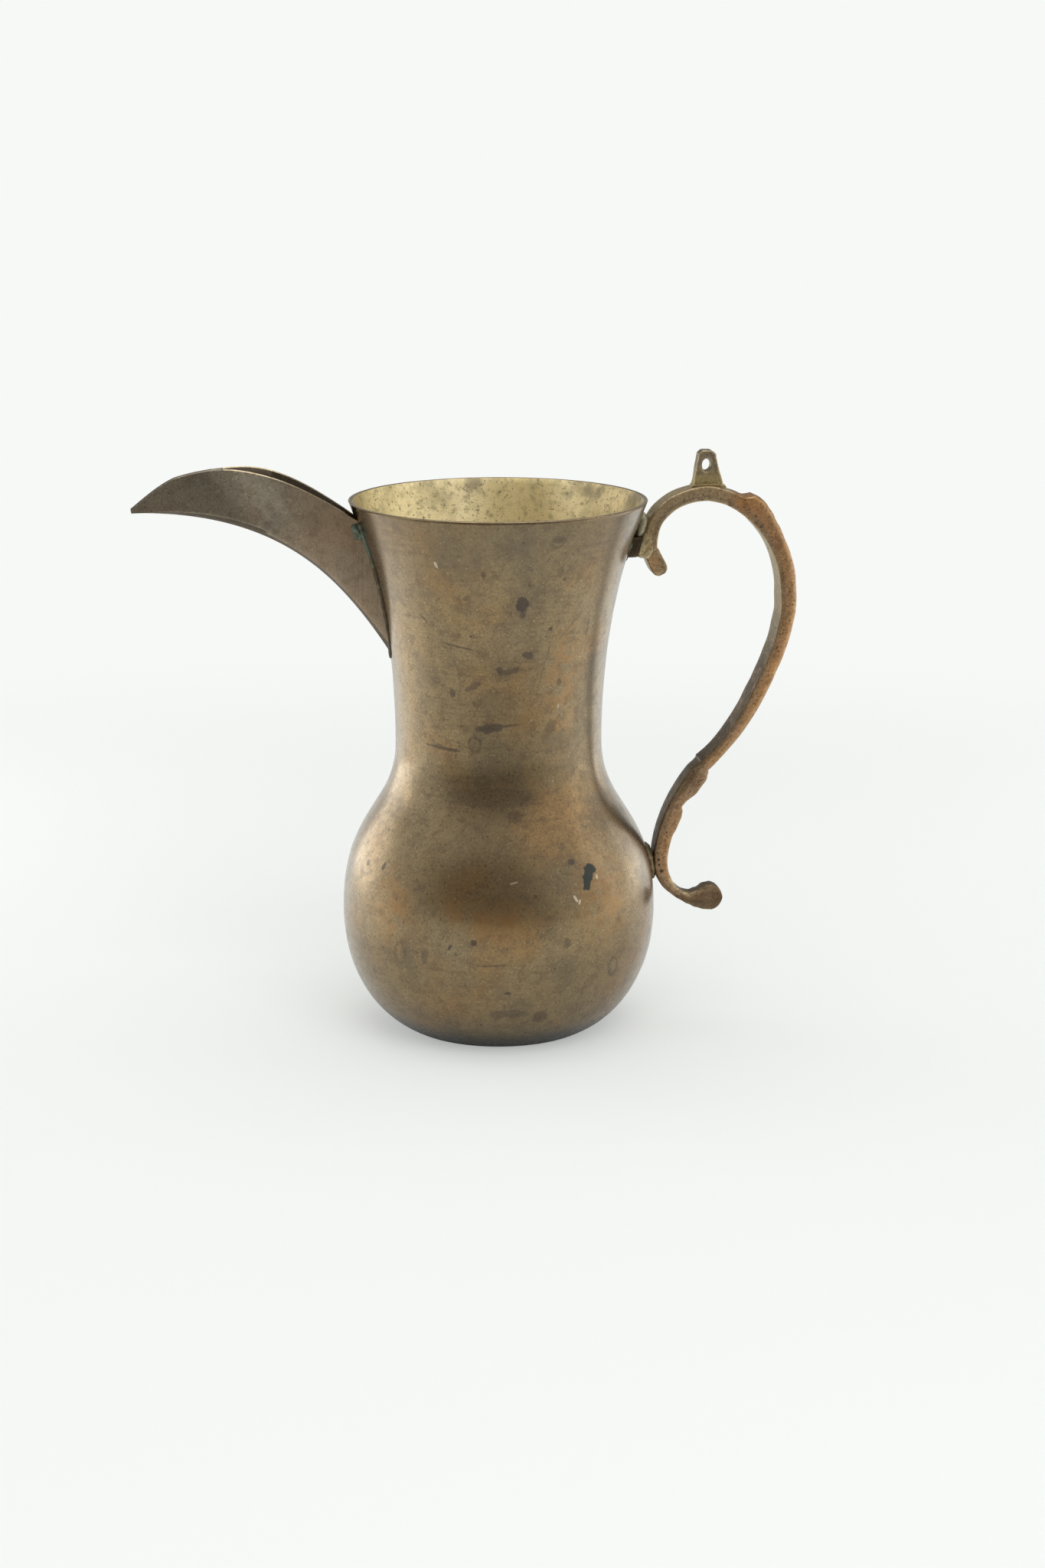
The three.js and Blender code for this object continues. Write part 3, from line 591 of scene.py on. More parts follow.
def bare_sides(tree, place, colour):
    """The bar's inner and outer sides, rubbed bare in patches and painted dark below and pale above as light from
    above, and a few casting holes painted dark as shade.
    """
    grey = add(tree, "Attribute", attribute_name="grey", out="Fac")
    height = add(tree, "SeparateXYZ", (place,), out="Z")
    # Painted light from above: the bare sides turn pale with height
    high = add(tree, "MapRange", (height, BARE_LIGHT_HEIGHTS[0] * MM, BARE_LIGHT_HEIGHTS[1] * MM))
    bare = tint(tree, high, rgb(BARE_LIGHT_COLOURS[0]), BARE_LIGHT_COLOURS[1], 1.0)
    amount = grain(tree, place, 3.0, 0.15, 0.5, 5, 8.0, within=grey)
    colour = add(tree, "Mix", {0: amount, 6: colour, 7: bare}, data_type="RGBA", out=2)
    for *spot, wide in JOINT_PITS:
        reach = add(tree, "VectorMath", (place, Vector(spot) * MM), operation="DISTANCE", out="Value")
        hole = add(tree, "MapRange", (reach, wide * MM, wide * 0.4 * MM), **SMOOTH)
        # Painted shade of a casting hole
        colour = tint(tree, hole, colour, "#2f251b", 0.85)
    return colour


def make_cast(name, base, warm, worn, toned=False, crown=None):
    """Cast brass with a sand-rough skin: brown, orange on the faces and bright along worn edges, which also carry a
    painted highlight.
    A toned piece turns from dark brown to orange along its length, is painted darker beside its inner edges as a
    groove's shade, and has bare sides, painted pale above and dark below as light from above.
    A crown is the height in millimetres above which a piece is smooth and brown."""
    material, tree, shader = start_material(name, 1.0)
    place = add(tree, "TexCoord", out="Object")
    colour = stain(tree, place, rgb(base), ((12, 0.4, 0.65, 4, 1.0, warm, 0.7),))
    if toned:
        tone = add(tree, "Attribute", attribute_name="tone", out="Fac")
        for start, full, code, strength in CAST_TONES:
            mask = add(tree, "MapRange", (tone, start, full))
            colour = tint(tree, mask, colour, code, strength)
    colour = stain(tree, place, colour, CAST_STAINS)
    if toned:
        colour = bare_sides(tree, place, colour)
    if crown:
        colour = shade_by_height(tree, place, colour, ((crown - CROWN_FADE, crown + CROWN_FADE, "#8d7f71", 0.85),))
    colour = stain(tree, place, colour, ((0.8, 0.5, 0.68, 3, 7.0, "#49382a", 0.5), (1.0, 0.6, 0.74, 3, 9.0, worn, 0.3)))
    # Bright edges: wear together with a painted highlight
    wear_and_highlight = add(tree, "Attribute", attribute_name="wear_and_highlight", out="Fac")
    bright = grain(tree, place, 1.8, 0.3, 0.62, 5, 3.0, within=wear_and_highlight)
    colour = tint(tree, bright, colour, worn, 0.6)
    pit = grain(tree, place, 0.6, 0.62, 0.72, 2, 4.0)
    colour = tint(tree, pit, colour, "#37291a", 0.8)
    grit = grain(tree, place, 0.9, 0.25, 0.75, 6, 6.0)
    lift = add(tree, "Math", (pit, -0.8, grit), operation="MULTIPLY_ADD")
    rough = add(tree, "MapRange", {"Value": grit, "To Min": 0.36, "To Max": 0.52})
    finish_surface(tree, shader, colour, rough, lift, strength=0.5, depth_mm=0.22)
    return material


SOLDER_STAINS = ((1.6, 0.45, 0.7, 6, 0.0, "#3f3b30", 0.6), (2.5, 0.58, 0.7, 4, 2.0, "#9aa08a", 0.4))
SOLDER_FADE = 3


def make_solder(name, low, high, split):
    """Dull solder: lumpy and grey-green where it lies thick, brown where it was wiped thin. The split is
    the height in millimetres at which one turns into the other."""
    material, tree, shader = start_material(name, 0.8)
    place = add(tree, "TexCoord", out="Object")
    colour = shade_by_height(tree, place, rgb(low), ((split - SOLDER_FADE, split + SOLDER_FADE, high, 1.0),))
    colour = stain(tree, place, colour, SOLDER_STAINS)
    grit = grain(tree, place, 0.8, 0.25, 0.75, 6, 4.0)
    rough = add(tree, "MapRange", {"Value": grit, "To Min": 0.45, "To Max": 0.65})
    finish_surface(tree, shader, colour, rough, grit, strength=0.6, depth_mm=0.2)
    return material


# The wall is smooth and satin, the base duller, the rim rubbed bright, the spout's edge rubbed bright and painted with
# a highlight where it faces up, the cheeks grey and filed, and the spout's inside and the keel's underside dull and
# painted dark as shade
aged_brass = make_patina("aged_brass_satin", "#9a8460", "#908164", "#9f7b4d", 0.26, marked=True)
plain_brass = make_patina("aged_brass_base", "#8d7a5c", "#7d725c", "#94795a", 0.4)
rim_brass = make_patina("aged_brass_rim", "#bda67f", "#ac9875", "#c2a470", 0.3)
spout_brass = make_patina("aged_brass_spout", "#918878", "#878070", "#98826a", 0.42, brushed=True)
edge_brass_and_highlight = make_patina("worn_brass_edge_and_highlight", "#d3c4a6", "#c2b08c", "#d2b98a", 0.24)
dull_shaded_brass = make_patina("aged_brass_dull_shaded", "#5c5347", "#544d42", "#63533f", 0.5)
inside_brass = make_inside()
# The handle is orange-brown, the lug yellow-green, the boss rubbed pale and the block dark brown
cast_brass = make_cast("cast_brass_brown", "#a6896e", "#ad8b65", "#cfb992", toned=True)
lug_brass = make_cast("cast_brass_yellow", "#b8a87a", "#a8956c", "#d6c79d", crown=159.6)
boss_brass = make_cast("cast_brass_worn", "#c4b38c", "#b39c72", "#e6dec8")
block_brass = make_cast("cast_brass_dark", "#4d4437", "#40382d", "#7d6d52")
# The spout's seam is wiped dark, the pad at the belly brown and the lump by the stem pale green
root_solder = make_solder("solder_wiped", "#5f5443", "#6f776a", 138)
pad_solder = make_solder("solder_brown", "#8c7c5e", "#82775c", 50)
stem_solder = make_solder("solder_green", "#a8a28a", "#bcb69b", 139)


# Body

def spin_profile(profile, steps, closed):
    """A turned shape from a profile of radius and height."""
    bm = bmesh.new()
    verts = [bm.verts.new((p[0], 0, p[1])) for p in profile]
    pairs = list(zip(verts, verts[1:])) + ([(verts[-1], verts[0])] if closed else [])
    edges = [bm.edges.new(pair) for pair in pairs]
    bmesh.ops.spin(bm, geom=verts + edges, cent=(0, 0, 0), axis=(0, 0, 1), angle=math.tau,
                   steps=steps, use_merge=True)
    bmesh.ops.remove_doubles(bm, verts=bm.verts, dist=0.001)
    bmesh.ops.recalc_face_normals(bm, faces=bm.faces)
    return bm


def push_faces(bm, offset):
    """Extrudes all faces of a flat shape by an offset."""
    moved = bmesh.ops.extrude_face_region(bm, geom=bm.faces[:])["geom"]
    bmesh.ops.translate(bm, vec=offset, verts=[g for g in moved if isinstance(g, bmesh.types.BMVert)])
    bmesh.ops.recalc_face_normals(bm, faces=bm.faces)


def cut(piece, cutter_bm):
    """The piece's mesh with a shape cut out of it."""
    bmesh.ops.transform(cutter_bm, matrix=Matrix.Scale(MM, 4), verts=cutter_bm.verts)
    mesh = bpy.data.meshes.new("cutter")
    cutter_bm.to_mesh(mesh)
    cutter_bm.free()
    cutter = bpy.data.objects.new("cutter", mesh)
    bpy.context.scene.collection.objects.link(cutter)
    modifier = piece.modifiers.new("window", "BOOLEAN")
    modifier.object = cutter
    modifier.solver = "EXACT"
    graph = bpy.context.evaluated_depsgraph_get()
    done = bpy.data.meshes.new_from_object(piece.evaluated_get(graph))
    piece.modifiers.remove(modifier)
    piece.data = done
    bpy.data.objects.remove(cutter)


def unroll(bm):
    """A UV map of the wall: distance round at a fixed radius, and height, both in millimetres."""
    layer = bm.loops.layers.uv.new("unrolled")
    for face in bm.faces:
        turns = [math.remainder(math.atan2(loop.vert.co.y, loop.vert.co.x) + math.pi / 2, math.tau)
                 for loop in face.loops]
        if max(turns) - min(turns) > math.pi:
            turns = [turn + math.tau if turn < 0 else turn for turn in turns]
        for loop, turn in zip(face.loops, turns):
            loop[layer].uv = (turn * MAP_RADIUS, loop.vert.co.z)


def dent(bm):
    """Shallow dents and the ripples of turning, fading out towards the foot."""
    for vert in bm.verts:
        flat = Vector((vert.co.x, vert.co.y, 0)).normalized()
        push = noise.noise(vert.co / DENT[0]) * DENT[1] + noise.noise(vert.co / SMALL_DENT[0]) * SMALL_DENT[1]
        stretched = (vert.co.x / RIPPLE_LENGTH, vert.co.y / RIPPLE_LENGTH, vert.co.z / RIPPLE[0])
        push += noise.noise(stretched) * RIPPLE[1]
        vert.co += flat * push * smoothstep(vert.co.z, *DENT_FADE)


def make_body():
    """The turned wall, inside and out, with its rounded lip and the pouring window."""
    inner = [p for p in body_line(WALL, coarse=2) if p.y < RIM[1] - LIP_ROUND][1:]
    lean = math.atan2(RIM_PULL[0], RIM_PULL[1])
    inner_rim = RIM[0] - WALL / math.cos(lean)
    lip = [(RIM[0] - inward, RIM[1] + up) for inward, up in LIP_OUTER]
    lip += [(inner_rim + outward, RIM[1] + up) for outward, up in LIP_INNER]
    foot = FOOT[0] - FOOT_FLAT
    profile = [(FOOT_OPENING, 0), (foot, 0), *OUTER_LINE[1:], *lip, *inner[::-1], (foot, WALL), (FOOT_OPENING, WALL)]
    bm = spin_profile(profile, BODY_TURNS, closed=True)
    for face in bm.faces:
        middle = face.calc_center_median()
        radius = math.hypot(middle.x, middle.y)
        face.material_index = 1 if radius < body_radius(middle.z) - WALL * 0.6 else 0
        if middle.z > RIM[1] - LIP_BAND:
            face.material_index = 2
    unroll(bm)
    dent(bm)
    piece = finish_piece("pitcher_body", bm, [aged_brass, inside_brass, rim_brass], ["body_shell"])
    cutter = bmesh.new()
    cutter.faces.new([cutter.verts.new((WINDOW_REACH[0], y, z)) for y, z in WINDOW])
    push_faces(cutter, (WINDOW_REACH[1], 0, 0))
    cut(piece, cutter)


def make_base():
    """The slightly hollow base disc, and the round bead that seals it inside."""
    radius = FOOT_OPENING - BASE_GAP
    disc = [*((radius * share - inward, up) for share, inward, up in BASE_HOLLOW), (radius, WALL), (0, WALL)]
    finish_piece("base_disc_plate", spin_profile(disc, BASE_TURNS, closed=False), [plain_brass],
                 ["base_disc"])
    middle = FOOT_OPENING - BASE_GAP / 2
    arc = [(middle + BASE_SEAM[0] * math.cos(turn), WALL + BASE_SEAM_LIFT + BASE_SEAM[1] * math.sin(turn))
           for turn in (a * math.pi / 8 for a in range(9))]
    finish_piece("base_seam_bead", spin_profile(arc, BASE_TURNS, closed=True), [pad_solder], ["base_solder"])


make_body()
make_base()


# Spout

def sweep_rings(rings):
    """A closed skin drawn from the first ring through every next one, with its ends filled. Each vertex
    keeps the number of its ring and its place in the ring."""
    bm = bmesh.new()
    ring_layer = bm.verts.layers.int.new("ring")
    place_layer = bm.verts.layers.int.new("place")
    first = [bm.verts.new(p) for p in rings[0]]
    for i, vert in enumerate(first):
        vert[place_layer] = i
    loop = [bm.edges.new((a, b)) for a, b in zip(first, first[1:] + first[:1])]
    bmesh.ops.contextual_create(bm, geom=loop)
    order = {vert: i for i, vert in enumerate(first)}
    for number, ring in enumerate(rings[1:], 1):
        made = bmesh.ops.extrude_edge_only(bm, edges=loop)["geom"]
        next_order = {}
        for vert in (g for g in made if isinstance(g, bmesh.types.BMVert)):
            old = next(e.other_vert(vert) for e in vert.link_edges if e.other_vert(vert) in order)
            next_order[vert] = order[old]
        for vert, i in next_order.items():
            vert.co = ring[i]
            vert[ring_layer] = number
            vert[place_layer] = i
        loop = [g for g in made if isinstance(g, bmesh.types.BMEdge)
                and g.verts[0] in next_order and g.verts[1] in next_order]
        order = next_order
    bmesh.ops.contextual_create(bm, geom=loop)
    bmesh.ops.recalc_face_normals(bm, faces=bm.faces)
    return bm


def top_point(t):
    """A point on the top edge at a share of the way from the root to the beak's tip."""
    if t < CREST_PLACE:
        return bezier(TOP_EDGE, t / CREST_PLACE)
    return bezier(BEAK_EDGE, (t - CREST_PLACE) / (1 - CREST_PLACE))


def cheek_half(s, half):
    """Half width across the cheeks at a share of the way from the keel to the top edge."""
    return KEEL_HALF * min(1, s * KEEL_ROUND) ** 0.5 + (half - KEEL_HALF) * s ** CHEEK_SWELL


def spout_ring(t):
    """The far and the near cheek's outline across the spout at a share of the way from root to tip. The far one
    is set a little higher, so that its edge shows above the near one."""
    low = bezier(KEEL, t)
    high = top_point(t)
    half = lerp(MOUTH_HALF, TIP_HALF, smoothstep(t, *NARROW))
    pull = max(1 - t / ROOT_BLEND, 0) ** 2
    outer = []
    inner = []
    for i in range(CHEEK_POINTS + 1):
        s = i / CHEEK_POINTS
        at = low.lerp(high, s)
        y = cheek_half(s, half)
        chord = bezier(KEEL, 0).lerp(top_point(0), s)
        neck = -math.sqrt(max((body_radius(chord.y) - ROOT_BURY) ** 2 - y * y, 1))
        x = at.x + (neck - chord.x) * pull
        outer.append(Vector((x, y, at.y)))
        inner.append(Vector((x, max(y - SHEET, KEEL_GAP), at.y + SHEET * (1 - s) * KEEL_FILL)))
    crest = Vector((outer[-1].x, (outer[-1].y + inner[-1].y) / 2, outer[-1].z + EDGE_CREST))
    uneven = math.sin(math.pi * min(t / UNEVEN_END, 1))
    far = []
    near = []
    for p in outer + [crest] + inner[::-1]:
        share = uneven * max((p.z - low.y) / (high.y - low.y), 0) ** 2
        far.append(Vector((p.x, p.y, p.z + FAR_RISE * share)))
        near.append(Vector((p.x, -p.y, p.z - NEAR_DROP * share)))
    return far, near


def make_spout():
    """Two crescent cheeks joined along the keel, open on top, with a worn edge painted with a highlight, and an inside
    and keel underside that are dull and painted dark as shade.
    """
    rings = []
    for k in range(SPOUT_STATIONS + 1):
        far, near = spout_ring(k / SPOUT_STATIONS)
        rings.append(far + near[:0:-1])
    bm = sweep_rings(rings)
    bmesh.ops.remove_doubles(bm, verts=bm.verts, dist=0.001)
    for face in bm.faces:
        middle = face.calc_center_median()
        # Upward faces of the edge towards the root take the worn material with a painted highlight
        on_edge = all(vert.co.z > EDGE_LOWEST and abs(vert.co.y) > EDGE_FROM_KEEL for vert in face.verts)
        if face.normal.z > 0.6 and on_edge:
            face.material_index = 1 if middle.x > WORN_EDGE_END else 0
        # Inner faces of the cheeks and the keel's underside take the dull material, painted dark as shade
        elif face.normal.y * middle.y < 0 or face.normal.z < -0.3 and abs(middle.y) < KEEL_HALF:
            face.material_index = 2
    finish_piece("beak_spout", bm, [spout_brass, edge_brass_and_highlight, dull_shaded_brass],
                 ["spout_left_cheek", "spout_right_cheek"], sharp=50)


make_spout()


# Handle

def bar_section(depth, low, high, inner_edge, outer_edge):
    """A rectangle with round corners as (across, out) points, anticlockwise, each with its wear_and_highlight: worn
    edges with a painted highlight.
    """
    corners = ((depth / 2 - outer_edge, high - outer_edge, outer_edge),
               (outer_edge - depth / 2, high - outer_edge, outer_edge),
               (inner_edge - depth / 2, low + inner_edge, inner_edge),
               (depth / 2 - inner_edge, low + inner_edge, inner_edge))
    points = []
    for quarter, (across, out, edge) in enumerate(corners):
        for step in range(EDGE_POINTS):
            angle = (quarter + step / (EDGE_POINTS - 1)) * math.pi / 2
            wear_and_highlight = 1 - abs(step / (EDGE_POINTS - 1) - 0.5)
            points.append((across + edge * math.cos(angle), out + edge * math.sin(angle), wear_and_highlight))
        turn = (quarter + 1) * math.pi / 2
        ahead = corners[(quarter + 1) % 4]
        start = points[-1]
        end = (ahead[0] + ahead[2] * math.cos(turn), ahead[1] + ahead[2] * math.sin(turn))
        for step in range(1, FLAT_POINTS + 1):
            share = step / (FLAT_POINTS + 1)
            points.append((lerp(start[0], end[0], share), lerp(start[1], end[1], share), 0.0))
    return points


def bar_ring(points, t, inner, outer, depth, outer_edge):
    """The bar's section at a share of the way along a sweep, square to it."""
    here = bezier(points, t)
    along = (bezier(points, min(t + 0.002, 1)) - bezier(points, max(t - 0.002, 0))).normalized()
    outer_edge = min(outer_edge, (inner + outer) / (2 * EDGE_SHARE))
    return [Vector((here.x - along.y * out, across, here.y + along.x * out))
            for across, out, _ in bar_section(depth, -inner, outer, INNER_EDGE, outer_edge)]


def roughen(bm, size, depth):
    """Moves every vertex along its normal by smooth noise, as a sand casting is uneven."""
    bm.normal_update()
    shifts = [(vert, vert.normal * noise.noise(vert.co / size) * depth) for vert in bm.verts]
    for vert, shift in shifts:
        vert.co += shift


def age_bar(bm, tones):
    """Gives the bar's vertices their wear_and_highlight, their bare grey and their tone, by ring and place in the ring.
    The arch's top strip is worn and painted pale as light from above, the hook's ridge carries a painted highlight and
    the points beside the inner edges a painted groove shade.
    """
    wears = [wear_and_highlight for _, _, wear_and_highlight in bar_section(KNOB_DEPTH, -KNOB_RADIUS, KNOB_RADIUS, INNER_EDGE, KNOB_EDGE)]
    ring_layer = bm.verts.layers.int["ring"]
    place_layer = bm.verts.layers.int["place"]
    wear_and_highlight = bm.verts.layers.float.new("wear_and_highlight")
    grey = bm.verts.layers.float.new("grey")
    tone = bm.verts.layers.float.new("tone")
    for vert in bm.verts:
        place = vert[place_layer]
        ring = vert[ring_layer]
        arch = ring < ARCH_END
        hook = ring > HOOK_START
        vert[wear_and_highlight] = wears[place] * (1.0 if arch else GRIP_WEAR)
        vert[grey] = 1.0 if INNER_START <= place <= INNER_END else 0.0
        # The arch's top strip is worn and painted pale as light from above
        if OUTER_START <= place <= OUTER_END and (arch or hook):
            vert[grey] = 1.0 if arch else HOOK_GREY
            vert[wear_and_highlight] = max(vert[wear_and_highlight], ARCH_WEAR_AND_TOP_LIGHT if arch else 0.0)
        elif arch and vert[grey] == 0:
            vert[grey] = ARCH_GREY
        # Painted highlight along the hook's ridge
        if hook and RIDGE_START <= place <= RIDGE_END:
            vert[wear_and_highlight] = RIDGE_HIGHLIGHT * (1 - smoothstep(ring, *RIDGE_FADE))
        # Points beside the inner edges get the painted groove shade
        vert[tone] = tones[ring] - (GROOVE_SHADE if place in GROOVE_SHADE_PLACES else 0.0)


def make_handle():
    """The cast scroll from its curled tail over the arch and down the grip to the hook and its knob."""
    rings = []
    tones = []
    for points, steps, sections, shades in zip(BAR_SWEEPS, BAR_STEPS, BAR_SECTIONS, BAR_TONES):
        for i in range(1 if rings else 0, steps + 1):
            t = i / steps
            rings.append(bar_ring(points, t, *table(sections, t)))
            tones += table(shades, t)
    for step in range(1, KNOB_STEPS):
        angle = step / KNOB_STEPS * math.pi / 2
        half = KNOB_RADIUS * math.cos(angle)
        out = HOOK_END[0] + KNOB_OUT + KNOB_RADIUS * math.sin(angle)
        edge = min(KNOB_EDGE, half / EDGE_SHARE)
        rings.append([Vector((out, across, HOOK_END[1] + up))
                      for across, up, _ in bar_section(KNOB_DEPTH, -half, half, edge, edge)])
        tones.append(tones[-1])
    bm = sweep_rings(rings)
    age_bar(bm, tones)
    roughen(bm, *BAR_SAND)
    finish_piece("scroll_handle", bm, [cast_brass], ["handle"])


make_handle()


# Neck block, boss and hinge lug

def plate(outline, depth, round_edge, hole=None):
    """A plate across the XZ plane with rounded edges, and a hole where one is given."""
    bm = bmesh.new()
    loops = []
    for points in [outline] + ([hole] if hole else []):
        verts = [bm.verts.new((x, -depth / 2, z)) for x, z in points]
        loops += [bm.edges.new(pair) for pair in zip(verts, verts[1:] + verts[:1])]
    if hole:
        bmesh.ops.bridge_loops(bm, edges=loops)
    else:
        bmesh.ops.contextual_create(bm, geom=loops)
    push_faces(bm, (0, depth, 0))
    corners = [edge for edge in bm.edges if edge.calc_face_angle(0) > math.radians(35)]
    bmesh.ops.bevel(bm, geom=corners, offset=round_edge, affect="EDGES", segments=3, profile=0.5, material=-1,
                    clamp_overlap=True)
    return bm


def finish_casting(name, bm, material, replaces, sand):
    """A small casting with fine facets, worn edges that also carry a painted highlight, and an uneven skin."""
    bmesh.ops.triangulate(bm, faces=[f for f in bm.faces if len(f.verts) > 4])
    bmesh.ops.subdivide_edges(bm, edges=[e for e in bm.edges if e.calc_length() > PLATE_FACET], cuts=2,
                              use_grid_fill=True)
    layer = bm.verts.layers.float.new("wear_and_highlight")
    bm.normal_update()
    for vert in bm.verts:
        vert[layer] = smoothstep(max(edge.calc_face_angle(0) for edge in vert.link_edges), 0.1, 0.5)
    roughen(bm, *sand)
    finish_piece(name, bm, [material], replaces, sharp=40)


def make_small_castings():
    """The block on the neck, the boss on the stem and the holed lug on the crown."""
    low = body_radius(BLOCK_LOW)
    high = body_radius(BLOCK_HIGH)
    block = ((low - WALL * 0.5, BLOCK_LOW), (low + BLOCK_REACH, BLOCK_LOW), (high + BLOCK_REACH, BLOCK_HIGH),
             (high - WALL * 0.5, BLOCK_HIGH))
    finish_casting("neck_block_cast", plate(block, BLOCK_DEPTH, BLOCK_EDGE), block_brass, ["neck_block"], PLATE_SAND)
    boss = ((low + BLOCK_REACH - 0.4, BLOCK_LOW + 0.2), *BOSS_OUTER, (high + BLOCK_REACH - 0.5, BLOCK_HIGH + 0.8))
    finish_casting("handle_boss", plate(boss, BOSS_DEPTH, BOSS_EDGE), boss_brass, (), BOSS_SAND)
    hole = [(HOLE_MIDDLE[0] + HOLE_HALF[0] * math.cos(a * math.tau / HOLE_POINTS),
             HOLE_MIDDLE[1] + HOLE_HALF[1] * math.sin(a * math.tau / HOLE_POINTS)) for a in range(HOLE_POINTS)]
    lug = plate(LUG_OUTLINE, LUG_DEPTH, LUG_EDGE, hole)
    finish_casting("lid_hinge_lug", lug, lug_brass, ["hinge_lug"], PLATE_SAND)


make_small_castings()


# Solder

def make_root_bead():
    """A thin uneven bead in the corner between the neck and both cheeks, down one side and up the other."""
    line = []
    for k in range(-SEAM_STEPS, SEAM_STEPS + 1):
        share = abs(k) / SEAM_STEPS
        at = bezier(KEEL, 0).lerp(top_point(0), share)
        across = math.copysign(cheek_half(share, MOUTH_HALF), k)
        line.append((share, Vector((-math.sqrt(body_radius(at.y) ** 2 - across ** 2), across, at.y))))
    rings = []
    turns = [a * math.tau / SEAM_POINTS for a in range(SEAM_POINTS)]
    for i, (share, middle) in enumerate(line):
        along = (line[min(i + 1, len(line) - 1)][1] - line[max(i - 1, 0)][1]).normalized()
        side = along.cross(Vector((middle.x, middle.y, 0))).normalized()
        out = side.cross(along)
        radius = lerp(*SEAM_RADII, share) * (1 + SEAM_LUMP[0] * noise.noise(middle / SEAM_LUMP[1]))
        rings.append([middle + (out * math.cos(turn) + side * math.sin(turn)) * radius for turn in turns])
    finish_piece("spout_root_bead", sweep_rings(rings), [root_solder], ["spout_root_solder"])


def make_lug_braze():
    """The braze at the lug's foot as a smooth lumpy mass that follows the shape of its node."""
    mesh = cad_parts["lug_braze"].data.copy()
    bm = bmesh.new()
    bm.from_mesh(mesh)
    bmesh.ops.remove_doubles(bm, verts=bm.verts, dist=0.00001)
    bm.to_mesh(mesh)
    bm.free()
    source = bpy.data.objects.new("braze_source", mesh)
    bpy.context.scene.collection.objects.link(source)
    modifier = source.modifiers.new("even", "REMESH")
    modifier.mode = "VOXEL"
    modifier.voxel_size = BRAZE_VOXEL * MM
    graph = bpy.context.evaluated_depsgraph_get()
    bm = bmesh.new()
    bm.from_mesh(bpy.data.meshes.new_from_object(source.evaluated_get(graph)))
    bpy.data.objects.remove(source)
    bmesh.ops.transform(bm, matrix=Matrix.Scale(1 / MM, 4), verts=bm.verts)
    every_way = {"use_axis_x": True, "use_axis_y": True, "use_axis_z": True}
    for _ in range(3):
        bmesh.ops.smooth_vert(bm, verts=bm.verts, factor=0.5, **every_way)
    bm.normal_update()
    for vert in bm.verts:
        vert.co += vert.normal * (noise.noise(vert.co / BRAZE_LUMP[0]) * BRAZE_LUMP[1] - BRAZE_SINK)
    bmesh.ops.smooth_vert(bm, verts=bm.verts, factor=0.4, **every_way)
    finish_piece("lug_foot_braze", bm, [boss_brass], ["lug_braze"])


def lumps(name, spots, material, replaces=()):
    """Solder run into a gap: one lump for each middle and half size in millimetres and lean in degrees."""
    bm = bmesh.new()
    for middle, half, lean in spots:
        turn = Matrix.Rotation(math.radians(lean), 4, "Y")
        bmesh.ops.create_icosphere(bm, subdivisions=4, radius=1.0,
                                   matrix=Matrix.Translation(middle) @ turn @ Matrix.Diagonal((*half, 1)))
    roughen(bm, *SOLDER_LUMPS)
    finish_piece(name, bm, [material], replaces)


make_root_bead()
make_lug_braze()
lumps("lower_handle_bead", [((43.9, 0, 46.6), (1.5, 4.0, 5.6), -12)], pad_solder, ["lower_handle_solder"])
lumps("neck_block_bead", [((body_radius(139.0) - 0.1, 0, 139.0), (1.0, 4.7, 4.3), 12)], root_solder, ["block_solder"])
lumps("stem_solder", [((40.8, 0, 144.4), (2.1, 3.8, 4.0), 8)], stem_solder)
lumps("spout_notch_solder", [((-40.2, side * 4.8, 145.5), (1.5, 0.9, 2.4), -15) for side in (-1, 1)], root_solder)


# Stage: paper, grey card, room, lights and camera, in metres

SWEEP_HALF = 3.0
BEND_START = 0.7
BEND_RADIUS = 0.6
BEND_STEPS = 16
BACKDROP_TOP = 2.6
# Masks on the paper: axis, where it starts and where it is full
PAPER_MASKS = {
    "left": ("X", 0.0, -0.24), "right": ("X", 0.1, 0.38), "behind": ("Y", -0.12, 0.06), "far": ("Y", 0.15, 0.8),
    "near": ("Y", -0.24, -0.44), "beyond": ("Y", 0.28, 0.55), "low": ("Z", 0.3, 0.02),
}
# Reach in metres over which the paper's glow for the camera grows, and its share nearer in: painted light that lifts
# the object's shadow
SHADOW_RING = (0.26, 0.56)
SHADOW_LIGHT = 0.42
SIDE_GLOW = 0.5
BACKDROP_DIM = 0.75
CARD_PLACE = (-0.33, -1.1, 0.08)
CARD_SIZE = (0.8, 0.2)
ROOM_SIDE = (-0.3, -0.95, 0.0)
ROOM_EDGE = (0.3, 0.9)
# Level of the world for plain light, for reflections and on top of the plain level for the camera
WORLD_LEVELS = (0.62, 0.92, 0.38)


def add_stage(name, bm, code, roughness):
    """A thing of the stage, with a plain matt material."""
    mesh = bpy.data.meshes.new(name)
    bm.to_mesh(mesh)
    bm.free()
    mesh.shade_smooth()
    material, tree, shader = start_material(name, 0.0)
    shader.inputs["Base Color"].default_value = rgb(code)
    shader.inputs["Roughness"].default_value = roughness
    mesh.materials.append(material)
    prop = bpy.data.objects.new(name, mesh)
    bpy.context.scene.collection.objects.link(prop)
    return prop, tree, shader


